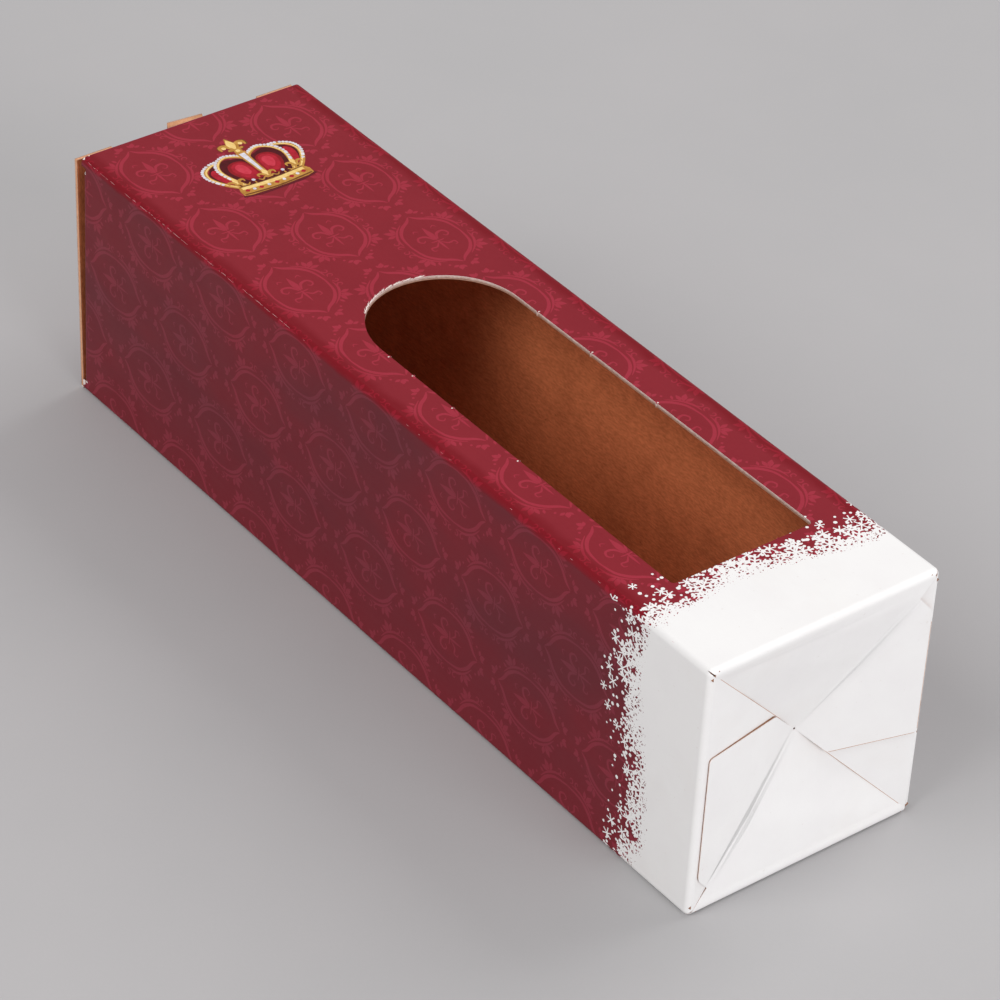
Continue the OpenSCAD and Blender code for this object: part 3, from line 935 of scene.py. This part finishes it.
LEFT = [(0, LOW + FOLD_R), (FOLD_END, LOW + FOLD_R), *CORNERS_AT["left low"], *CORNERS_AT["left high"],
        (FOLD_END, -FOLD_R), (0, -FOLD_R), *LEFT_DUST]
RIGHT = [(0, BODY_W + FOLD_R), (FOLD_END, BODY_W + FOLD_R), *CORNERS_AT["right high"], (OVER, TURN - 3.2),
         (FOLD_END, TURN - 3.2), (FOLD_END, SEAM_IN), (FOLD_END - SEAM_SLOPE, SEAM_IN),
         (FOLD_END - 2 * SEAM_SLOPE, SEAM_OUT), (ROOT + 2 * SEAM_SLOPE, SEAM_OUT), (ROOT + SEAM_SLOPE, SEAM_IN),
         (0, SEAM_IN), *RIGHT_DUST]
BACK = [(0, LID_V + SEAM_STEP), (FOLD_END, LID_V + SEAM_STEP), (FOLD_END, LID_V + FOLD_R), (OVER, LID_V + FOLD_R),
        *CORNERS_AT["back left"], (FOLD_END, LOW + FOLD_R), (0, LOW + FOLD_R)]


# %% [markdown]
# The board can only bend where it has edges, so lines run along each fold, and a sparse grid of points lets
# the flat parts follow their slight bow.

# %% Lines and points that let the board bend
def arc_lines(folds, low, high):
    """Lines along each fold, close enough together to bend the board smoothly."""
    return [[(low, f - FOLD_R + 2 * FOLD_R * k / 8), (high, f - FOLD_R + 2 * FOLD_R * k / 8)]
            for f in folds for k in range(9)]


def end_lines(start, step, low, high):
    """Lines across the fold at one end of a panel."""
    return [[(start + step * k / 8, low), (start + step * k / 8, high)] for k in range(9)]


def grid(u_low, u_high, v_low, v_high, pitch=9.0):
    """Points spread evenly over a part of the sheet."""
    nu, nv = max(2, int((u_high - u_low) / pitch)), max(2, int((v_high - v_low) / pitch))
    return [(u_low + (u_high - u_low) * (i + 0.5) / nu, v_low + (v_high - v_low) * (j + 0.5) / nv)
            for i in range(nu) for j in range(nv)]


# %% [markdown]
# Each panel has its print laid in this order: the ornament, the snow over it, and then what only this panel
# has. The print bleeds 4 mm onto the dust flaps, and the glue flap of the back seam is white.

# %% Cut and fold the panels
BLEED = DUST_TOP - 4.0
WHITE_DUST = [([(TIP - 1, low), (BLEED, low), (BLEED, high), (TIP - 1, high)], "white")
              for low, high in ((LOW, 0), (BODY_W, TURN))]
WHITE_SEAM = [([(-1, TURN - 0.6), (BODY_LEN, TURN - 0.6), (BODY_LEN, TURN + 18), (-1, TURN + 18)], "white")]
PANELS = {
    "front": dict(
        outline=FRONT, holes=[WINDOW], low=-4, high=BODY_W + 4,
        # the first strip is a painted sheen along the front's edge at the mouth
        extra=[([(-1, 1), (0.12, 1), (0.12, BODY_W - 1), (-1, BODY_W - 1)], "haze")] + CROWN + frayed(21)
        + cracks(0.0, 11) + cracks(BODY_W, 12, busy=0.3) + torn(0.2, 0.4, 0.9, 3) + torn(0.1, 3.0, 0.5, 4)
        + torn(OVER - 0.6, 1.6, 0.8, 8, "flute") + torn(OVER - 0.8, BODY_W - 1.6, 0.8, 9, "flute")
        + [spot for u, v in NICKS[:7] for spot in torn(u, v + (0.5 if v > HALF_W else -0.5), 0.45, int(u))],
        lines=arc_lines((0.0, BODY_W), -1, OVER) + end_lines(FOLD_END, 2 * FOLD_R, -1, BODY_W + 1)),
    "left": dict(
        outline=LEFT, holes=[], low=LOW, high=0,
        extra=WHITE_DUST[:1] + torn(0.4, LOW + 3.4, 1.5, 5) + torn(2.4, LOW + 4.6, 0.7, 6) + torn(0.2, -5.6, 0.5, 7),
        lines=arc_lines((0.0, LOW), FOLD_END, OVER) + end_lines(FOLD_END, 2 * FOLD_R, LOW, 0)
        + end_lines(ROOT, -2 * FOLD_R, LOW + 4, -4)),
    "right": dict(
        outline=RIGHT, holes=[], low=BODY_W, high=TURN + 4,
        extra=WHITE_DUST[1:] + WHITE_SEAM + torn(FOLD_END + 2.0, 145, 1.6, 14, "flute")
        + torn(FOLD_END + 2.4, 156, 1.2, 15, "flute"),
        lines=arc_lines((TURN - SEAM_Z,), -1, BODY_LEN) + arc_lines((BODY_W,), FOLD_END, OVER)
        + end_lines(FOLD_END, 2 * FOLD_R, BODY_W, TURN - 3) + end_lines(ROOT, -2 * FOLD_R, BODY_W + 4, TURN - 4)),
    "back": dict(
        outline=BACK, holes=[], low=LID_V, high=LOW + 3, extra=cracks(LOW, 13, busy=0.4),
        lines=arc_lines((LOW,), -1, OVER) + end_lines(FOLD_END, 2 * FOLD_R, LID_V, LOW)),
}
lining = Cutting()
for side, panel in PANELS.items():
    low, high = panel["low"], panel["high"]
    cuts = dict(holes=panel["holes"], lines=panel["lines"], points=grid(2, FOLD_END - 2, low + 6, high - 6))
    skin = Cutting()
    made = ply(skin, fold_tube, panel["outline"], 0.0, -LINER, "burgundy", "white", "edge",
               prints=medallions(-6, 318, low, high) + snow(low, high) + panel["extra"], **cuts)
    finish_piece(side + "_print", skin, "box", "carton")
    inner = ply(lining, fold_tube, panel["outline"], LINER - BOARD, -BOARD, "flute", "kraft", "cut", **cuts)
    print(side, "print and lining:", made, inner)
finish_piece("kraft_lining", lining, "box", "carton")

# %% [markdown]
# ## The flute between the liners
# At every cut edge the third ply shows: a brown wave with a pitch of 3.2 mm that runs along the carton. Only
# a strip of it can be seen, so a ribbon 2 mm deep is laid along each cut. Its height follows the wave, and so
# an edge across the flutes shows the wave, and an edge along them shows one brown slope.

# %% Lay the flute along an edge
def flute_edge(cutting, place, line, inward=1, closed=False, ink="flute", crushed=False):
    """Ribbon of the wavy ply along a cut: line is in the sheet, and the board lies on its left.

    Where the die has crushed the edge, the ribbon has no wave and fills the board between its liners.
    """
    gap = BOARD - 2 * LINER
    swing, half = (0.0, gap / 2) if crushed else ((gap - MEDIUM) / 2, MEDIUM / 2)
    if closed:
        line = line + line[:1]
    spots = []
    for a, b in zip(line, line[1:]):
        parts = max(1, round(math.dist(a, b) / 0.5))
        spots += [(a[0] + (b[0] - a[0]) * k / parts, a[1] + (b[1] - a[1]) * k / parts) for k in range(parts)]
    spots += [] if closed else [line[-1]]
    count, deep = len(spots), (0.08, 0.5, 1.0, 1.5, 2.0)
    rows = []
    for i, (u, v) in enumerate(spots):
        a = spots[i - 1] if closed or i else spots[0]
        b = spots[(i + 1) % count] if closed or i < count - 1 else spots[-1]
        run = math.dist(a, b) or 1.0
        nu, nv = -(b[1] - a[1]) / run * inward, (b[0] - a[0]) / run * inward
        row = []
        for face in (1, -1):
            for d in deep:
                wave = swing * math.sin(2 * math.pi * (v + nv * d) / FLUTE_PITCH)
                row.append(cutting.spot(place, u + nu * d, v + nv * d, -BOARD / 2 + wave + face * half))
        rows.append(row)
    n = len(deep)
    ring = list(range(n)) + list(range(2 * n - 1, n - 1, -1))
    for i in range(count if closed else count - 1):
        r0, r1 = rows[i], rows[(i + 1) % count]
        for k in range(2 * n):
            a, b = ring[k], ring[(k + 1) % (2 * n)]
            quad = [r0[a], r1[a], r1[b], r0[b]]
            cutting.face(quad if inward > 0 else quad[::-1], ink)
    if not closed:
        for row, turn in ((rows[0], 1), (rows[-1], -1)):
            cap = [row[k] for k in ring]
            cutting.face(cap[::turn] if inward > 0 else cap[::-turn], ink)


flutes = Cutting()
flute_edge(flutes, fold_tube, WINDOW, closed=True, ink="rim", crushed=True)
flute_edge(flutes, fold_tube, [(0, BODY_W + FOLD_R), (0, -FOLD_R)])
for edge in (*CORNERS_AT.values(), LEFT_DUST[4:8], LEFT_DUST[2:5], RIGHT_DUST[6:8], RIGHT_DUST[2:7],
             BACK[:2], BACK[1:3], [BACK[-1], BACK[0]], RIGHT[9:11]):
    flute_edge(flutes, fold_tube, edge)
finish_piece("tube_flute", flutes, "box", "carton")

# %% [markdown]
# ## The crash-lock bottom
# Four flaps close the bottom. Each of the two main flaps has a wing that is glued over the minor flap beside
# it, and the two halves lock in the middle, which sinks in by 9.5 mm. A flap is laid out in its end view
# (y across, z up) and its depth below the bottom's edge is read from the creases. The depth is softened a
# little, because board bends round a crease and doesn't break.

# %% Depth of the flaps
# Places on the flaps: in mm, and as shares of the way from a corner of the bottom to its middle
PUSH_IN, WING_GAP, WING_TOP, WING_FOOT, WING_TURN = 9.5, 2.8, 14.3, 34.5, 0.74
NOTCH_TURN, HALF_WAY, MINOR_TURN, MINOR_CLEAR, MINOR_OVER = 0.13, 0.5, 0.82, 0.1, 0.25


def diagonal(side, level, t):
    """Point on the diagonal to one corner of the bottom: t = 0 at the corner, 1 in the middle."""
    return side * FLAT_W * (1 - t), HALF_D + level * FLAT_D * (1 - t)


def main_corners(rise):
    """Corners of a main flap as y, z and depth, with its wing's edge rise mm proud of the end."""
    return [
        (*diagonal(-1, 1, 0), 0.0), (*diagonal(1, 1, 0), 0.0),
        (*diagonal(1, 1, NOTCH_TURN), PUSH_IN * NOTCH_TURN - rise),
        (HALF_W - WING_GAP, BODY_D - WING_TOP, -rise), (HALF_W - WING_GAP, WING_FOOT, -rise),
        (*diagonal(1, -1, WING_TURN), PUSH_IN * WING_TURN - rise - 0.5), (*diagonal(1, -1, 1), PUSH_IN),
        (*diagonal(-1, 1, HALF_WAY), PUSH_IN * HALF_WAY + 0.6),
        # the last one is where the wing's crease rides over the other minor flap
        (*diagonal(1, 1, HALF_WAY), PUSH_IN * HALF_WAY - BOARD),
    ]


MAIN = main_corners(0.0)
FACETS = [(0, 1, 2), (0, 2, 8)] + [(i, (i + 1) % 8, 8) for i in range(2, 8)]
# The wing's crease runs from the middle of the bottom to the flap's third corner
CREASE_Y, CREASE_Z = MAIN[2][0], MAIN[2][1] - HALF_D
CREASE_RUN = math.hypot(CREASE_Y, CREASE_Z)
GROOVE, RIDGE = 0.03, 0.12


# %% Fold the flaps
def facet_depth(corners, y, z):
    """Depth of the flat facet that a point of a main flap lies on."""
    best, depth = -9.0, 0.0
    for f in FACETS:
        (ya, za, da), (yb, zb, db), (yc, zc, dc) = (corners[i] for i in f)
        whole = (yb - ya) * (zc - za) - (yc - ya) * (zb - za)
        if abs(whole) < 1e-6:
            continue
        wb = ((y - ya) * (zc - za) - (yc - ya) * (z - za)) / whole
        wc = ((yb - ya) * (z - za) - (y - ya) * (zb - za)) / whole
        wa = 1 - wb - wc
        if min(wa, wb, wc) > best:
            best, depth = min(wa, wb, wc), wa * da + wb * db + wc * dc
    return depth


def crease_bead(y, z):
    """Profile of the wing's crease: a double groove with a ridge between, in mm of depth."""
    off = (y * CREASE_Z - (z - HALF_D) * CREASE_Y) / CREASE_RUN
    along = (y * CREASE_Y + (z - HALF_D) * CREASE_Z) / CREASE_RUN
    if not 0 < along < CREASE_RUN:
        return 0.0
    weak = min(1.0, along / 3, (CREASE_RUN - along) / 2)
    return weak * (GROOVE * math.exp(-((abs(off) - 0.8) / 0.35) ** 2) - RIDGE * math.exp(-(off / 0.4) ** 2))


def main_flap(rise, soft=0.9):
    """Folding of the front panel's flap; each point takes the mean depth of five spots soft mm apart."""
    corners = main_corners(rise)

    def place(y, z, h):
        near = ((0, 0), (soft, 0), (-soft, 0), (0, soft), (0, -soft))
        depth = sum(facet_depth(corners, y + dy, z + dz) for dy, dz in near) / len(near)
        at_fold = min(1.0, max(0.0, (BODY_D - FOLD_R - z) / 2.5))
        return BODY_LEN - depth * at_fold - crease_bead(y, z) + h - MID_X, y, z
    return place


def minor_flap(y, z, h):
    """Place of a point of the right side panel's flap."""
    return BODY_LEN - PUSH_IN * (FLAT_W - y) / FLAT_W + h - MID_X, y, z


def opposite(place):
    """The same flap on the other side of the bottom, half a turn round."""
    def turned(y, z, h):
        x, y2, z2 = place(y, z, h)
        return x, -y2, BODY_D - z2
    return turned


# %% [markdown]
# The wings end in cut edges that stand proud of the flap below, the front one further than the back one.
# Where the liner has gone from such an edge, the paper under it shows as a narrow band. Along the front wing's
# free edges and the minor flaps' lower edges this band is also a painted shadow line.

# %% Outlines of the flaps
def rounded(loop, radii):
    """Outline with some corners rounded: radii maps a corner's number to its radius."""
    out = []
    for i, (b, c) in enumerate(loop):
        r = radii.get(i, 0)
        if not r:
            out.append((b, c))
            continue
        before, after = loop[i - 1], loop[(i + 1) % len(loop)]
        ends = []
        for other in (before, after):
            run = math.dist((b, c), other)
            ends.append((b + (other[0] - b) * r / run, c + (other[1] - c) * r / run))
        for k in range(6):
            t = k / 5
            out.append(tuple((1 - t) ** 2 * p + 2 * t * (1 - t) * q + t * t * w
                             for p, q, w in zip(ends[0], (b, c), ends[1])))
    return out


notch = [(0.4, HALF_D - 0.42), (0.36, HALF_D + 0.37), (-0.4, HALF_D + 0.42)]
main_outline = rounded([(y, z) for y, z, _ in MAIN[:6]] + notch + [MAIN[7][:2]], {3: 2.0, 4: 1.6, 5: 1.2})
minor_corners = [diagonal(1, -1, 0), diagonal(1, -1, MINOR_TURN), diagonal(1, 1, MINOR_TURN), diagonal(1, 1, 0)]
minor_outline = [(y, z - low) for (y, z), low in zip(minor_corners, [MINOR_OVER] * 2 + [MINOR_CLEAR] * 2)]
ey, ez = CREASE_Y / CREASE_RUN, CREASE_Z / CREASE_RUN
crease_lines = [[(off * ez, HALF_D - off * ey), (CREASE_Y + off * ez, MAIN[2][1] - off * ey)]
                for off in (-1.6, -1.2, -0.9, -0.6, -0.3, 0, 0.3, 0.6, 0.9, 1.2, 1.6)]
ACROSS = 44
fold_rows = [[(-ACROSS, BODY_D - FOLD_R - d), (ACROSS, BODY_D - FOLD_R - d)] for d in (0.6, 1.3, 2.1, 3.0)]
wing_side = [(HALF_W - WING_GAP, z) for z in (BODY_D - WING_TOP - 4, WING_FOOT + 12, WING_FOOT + 1.6)]
wing_foot = [(y, z) for y, z, _ in MAIN[4:6]]


def worn_and_shadow_edge(line, dy, dz):
    """Band on an edge bared to the flute, also a painted shadow line; (dy, dz) points off the flap."""
    band = [(y - 2 * dy, z - 2 * dz) for y, z in line] + [(y + dy / 2, z + dz / 2) for y, z in line[::-1]]
    return band, "cut"


# %% Cut and fold the flaps
# What the two main flaps share, and what the two minor flaps share
MAIN_KIND = dict(outline=main_outline, raw=main_outline[1:] + main_outline[:1], reads=lambda y, z: (z, y),
                 cuts=dict(lines=crease_lines + fold_rows, points=grid(-ACROSS, ACROSS, 3, 93, 3.5)))
MINOR_KIND = dict(outline=minor_outline, raw=minor_outline, reads=lambda y, z: (y, z),
                  cuts=dict(points=grid(8, 43, 4, 93, 6)))
# Painted shadow line along each minor flap's lower edge, drawn as a band of bare paper
minor_worn_and_shadow = [worn_and_shadow_edge(minor_outline[:2], 0, -0.12)]
# Each flap's last entry: bands of bare paper along its edges, which are also painted shadow lines
for name, place, kind, worn_and_shadow in (
        ("front_flap", main_flap(1.3), MAIN_KIND, [worn_and_shadow_edge(wing_side, 0.09, 0), worn_and_shadow_edge(wing_foot, 0, -0.1)]),
        ("back_flap", opposite(main_flap(0.5)), MAIN_KIND, []),
        ("right_flap", minor_flap, MINOR_KIND, minor_worn_and_shadow),
        ("left_flap", opposite(minor_flap), MINOR_KIND, minor_worn_and_shadow)):
    flap, outline, cuts = Cutting(kind["reads"]), kind["outline"], kind["cuts"]
    made = ply(flap, place, outline, 0.0, -LINER, "white", "white", "edge", prints=worn_and_shadow, **cuts)
    inner = ply(flap, place, outline, LINER - BOARD, -BOARD, "flute", "kraft", "cut", **cuts)
    flute_edge(flap, place, kind["raw"], inward=-1, crushed=True)
    finish_piece(name, flap, "box", "carton")
    print(name, made, inner)

# %% [markdown]
# ## The lid
# The lid belongs to the same sheet as the back panel, but it moves, so it is folded by a function of its
# own. p runs from its crease to the tip of the tuck flap and q across. Shoulders stand at both corners, and
# a small lift tab is cut out of the tuck flap and stays upright when the flap folds over.

# %% Fold the lid
AXIS_X, AXIS_Z, AJAR = -1.05, 0.75, math.radians(2)
LID_HALF, TUCK_Z, TUCK_HALF, TUCK_LEN = 45.5, 93.6, 30.0, 22.0
# The lift tab: its slit is wider than it is, and its crushed top slants between its two sides
SHOULDER, TAB_TOP, TAB_HALF, SLIT_HALF = 93.25, 94.75, 7.25, 7.5
TAB_LOW, TAB_HIGH, TAB_CRUSH = TAB_TOP - 0.8, TAB_TOP + 0.2, 1.7
TUCK_FOLD = TUCK_Z - FOLD_R
TUCK_TURN = math.radians(98.5)
TUCK_ARC = FOLD_R * TUCK_TURN
TUCK_TIP = TUCK_FOLD + TUCK_ARC + TUCK_LEN


def fold_lid(p, q, h):
    """Place of a point of the lid's sheet."""
    standing = p <= TUCK_FOLD or abs(q) > TUCK_HALF + 0.25 or (abs(q) < TAB_HALF + 0.12 and p < TAB_TOP + 0.8)
    if standing:
        x, z = -BOARD / 2 - h, p
    else:
        turn = min(TUCK_TURN, (p - TUCK_FOLD) / FOLD_R)
        more = max(0.0, p - TUCK_FOLD - TUCK_ARC)
        x = FOLD_R - BOARD / 2 - (FOLD_R + h) * math.cos(turn) + more * math.sin(turn)
        z = TUCK_FOLD + (FOLD_R + h) * math.sin(turn) + more * math.cos(turn)
    c, s = math.cos(AJAR), math.sin(AJAR)
    return x * c - z * s + AXIS_X - MID_X, q, x * s + z * c + AXIS_Z


TUCK_R = 8
tuck_corner = [(TUCK_TIP - TUCK_R + TUCK_R * math.sin(a), TUCK_HALF - TUCK_R + TUCK_R * math.cos(a))
               for a in (math.pi / 2 * k / 8 for k in range(9))]
half_edge = [(0, LID_HALF), (SHOULDER, LID_HALF), (SHOULDER, TUCK_HALF + 0.5), (TUCK_FOLD, TUCK_HALF + 0.5),
             (TUCK_FOLD, TUCK_HALF)] + tuck_corner
lid_outline = half_edge + [(p, -q) for p, q in reversed(half_edge)]
slot_end = TUCK_FOLD + TUCK_ARC + TAB_TOP - TUCK_Z


def tab_slit(cut):
    """Slit round the lift tab, whose top edge is cut mm lower."""
    return [(TUCK_FOLD, SLIT_HALF), (slot_end, SLIT_HALF), (slot_end, -SLIT_HALF), (TUCK_FOLD, -SLIT_HALF),
            (TUCK_FOLD, -TAB_HALF), (TAB_HIGH - cut, -TAB_HALF), (TAB_LOW - cut, TAB_HALF), (TUCK_FOLD, TAB_HALF)]


# %% Cut and fold the lid
tuck_lines = [[(TUCK_FOLD + TUCK_ARC * k / 9, side * (TUCK_HALF + 0.2)) for side in (-1, 1)] for k in range(10)]
lid_prints = [([(-u, v) for u, v in loop], ink) for loop, ink in medallions(-BODY_D, 0, -HALF_W, HALF_W)]
tuck_bleed, past = TUCK_FOLD + TUCK_ARC + 4, TUCK_HALF + 1
lid_prints.append(([(tuck_bleed, -past), (tuck_bleed, past), (TUCK_TIP + 1, past), (TUCK_TIP + 1, -past)], "white"))
cuts = dict(lines=tuck_lines, points=grid(2, 88, -44, 44, 10))
lid_skin, lid_lining = (Cutting(lambda p, q: (-p, q + HALF_W)) for _ in range(2))
print("lid:", ply(lid_skin, fold_lid, lid_outline, 0.0, -LINER, "burgundy", "white", "cut", prints=lid_prints,
                  holes=[tab_slit(0)], **cuts),
      ply(lid_lining, fold_lid, lid_outline, LINER - BOARD, -BOARD, "flute", "kraft", "cut",
          holes=[tab_slit(TAB_CRUSH)], **cuts))


def bar(cutting, ends, inks):
    """Straight bar between two end sections; inks has one finish for each side and one for the ends."""
    count = len(ends[0])
    for k in range(count):
        after = (k + 1) % count
        cutting.face([ends[0][k], ends[0][after], ends[1][after], ends[1][k]], inks[k])
    cutting.face(ends[0][::-1], inks[-1])
    cutting.face(ends[1], inks[-1])


# The crease at the lid's foot is a half-round roll of the printed liner
ROLL_R = BOARD / 2
rolls = [[lid_skin.spot(fold_lid, -ROLL_R * math.sin(a), q, -ROLL_R + ROLL_R * math.cos(a))
          for a in (math.pi * k / 8 for k in range(9))] for q in (-LID_HALF, LID_HALF)]
bar(lid_skin, rolls, ["burgundy"] * 8 + ["white", "edge"])
finish_piece("lid_print", lid_skin, "lid", "lid")
shoulder = half_edge[:4]
for edge in ([(p, -q) for p, q in reversed(shoulder)], shoulder):
    flute_edge(lid_lining, fold_lid, edge, inward=-1, ink="tan", crushed=True)
flute_edge(lid_lining, fold_lid, lid_outline[4:-4], inward=-1)
# The top of the lift tab is crushed to a slope
slope = ((0.05, -LINER), (TAB_CRUSH, -BOARD), (TAB_CRUSH + 0.4, -BOARD), (TAB_CRUSH + 0.4, -LINER))
bar(lid_lining, [[lid_lining.spot(fold_lid, top - down, q, h) for down, h in slope]
                 for q, top in ((-TAB_HALF, TAB_HIGH), (TAB_HALF, TAB_LOW))], ["tan"] * 5)
finish_piece("lid_lining", lid_lining, "lid", "lid")

# %% [markdown]
# ## Camera and light
# The camera stands where the photo was taken: it was found from the straight edges of the carton. The light is
# a white tent with three large soft lamps. The one on the left reaches through the window onto the far wall, the
# one on the right keeps the shadows there weak, and the low one lights the bottom end.

# %% Camera
# Angles in degrees, what it looks at and how far off, its shift right and up in mm, and its lens
azimuth, elevation, roll = (math.radians(degrees) for degrees in (50.5233, 36.3781, 3.55))
TARGET, AWAY, SHIFT_RIGHT, SHIFT_UP = (1.864, 1.5, 47.5), 1465.07, 5.4051, -8.8511
LENS_PX, PICTURE_PX, SENSOR = 4418.46, 1000, 36.0
toward = Vector((math.cos(elevation) * math.sin(azimuth), -math.cos(elevation) * math.cos(azimuth),
                 math.sin(elevation)))
level = (-toward).cross(Vector((0, 0, 1))).normalized()
above = level.cross(-toward)
right = level * math.cos(roll) + above * math.sin(roll)
up = above * math.cos(roll) - level * math.sin(roll)
eye = Vector(TARGET) + AWAY * toward + SHIFT_RIGHT * right + SHIFT_UP * up
lens = bpy.data.cameras.new("camera")
lens.sensor_width = SENSOR
lens.lens = LENS_PX * SENSOR / PICTURE_PX
camera = bpy.data.objects.new("camera", lens)
camera.matrix_world = Matrix([(right[i], up[i], toward[i], eye[i] / 1000) for i in range(3)] + [(0, 0, 0, 1)])
bpy.context.scene.collection.objects.link(camera)
bpy.context.scene.camera = camera
bpy.context.scene.view_settings.view_transform = "Standard"
print("camera, mm:", [round(c) for c in eye])

# %% Light
world = bpy.data.worlds.new("tent")
bpy.context.scene.world = world
world.use_nodes = True
tent = world.node_tree.nodes["Background"]
tent.inputs["Color"].default_value = (1.0, 0.995, 1.0, 1)
tent.inputs["Strength"].default_value = 0.5
LAMP_SIZE, LAMP_AWAY = 2.4, 4


def lamp(name, way, energy, tint):
    """Square soft lamp that shines on the carton from one direction; its sizes are in metres."""
    light = bpy.data.lights.new(name, "AREA")
    light.size, light.energy, light.color = LAMP_SIZE, energy, tint
    way = Vector(way).normalized()
    thing = bpy.data.objects.new(name, light)
    turn = way.to_track_quat("Z", "Y").to_matrix().to_4x4()
    thing.matrix_world = Matrix.Translation(way * LAMP_AWAY + Vector((0, 0, 0.05))) @ turn
    bpy.context.scene.collection.objects.link(thing)


lamp("lamp on the left", (0.0, -0.7, 0.72), 66.0, (1.0, 0.99, 0.98))
lamp("lamp on the right", (0.0, 0.7, 0.72), 55.0, (1.0, 0.99, 0.98))
lamp("lamp at the bottom end", (0.96, 0.0, 0.27), 74.0, (0.99, 0.985, 1.0))

# %% [markdown]
# ## Table
# The carton lies on a sheet of pale grey card, the same grey as in the photo. Its tone drifts very slightly.

# %% Table
card = bpy.data.meshes.new("table")
card.from_pydata([(-3, -3, 0), (3, -3, 0), (3, 3, 0), (-3, 3, 0)], [], [(0, 1, 2, 3)])
sheet = card.attributes.new("sheet", "FLOAT_VECTOR", "POINT")
sheet.data.foreach_set("vector", [c for vertex in card.vertices for c in vertex.co])
finish("table", "#B6B4B5", "#B1B0B1", 0.85, 8.0, 0.6, 0.2, 0.3, 0.0, 0.3)
card.materials.append(FINISH["table"])
table = bpy.data.objects.new("table", card)
bpy.context.scene.collection.objects.link(table)
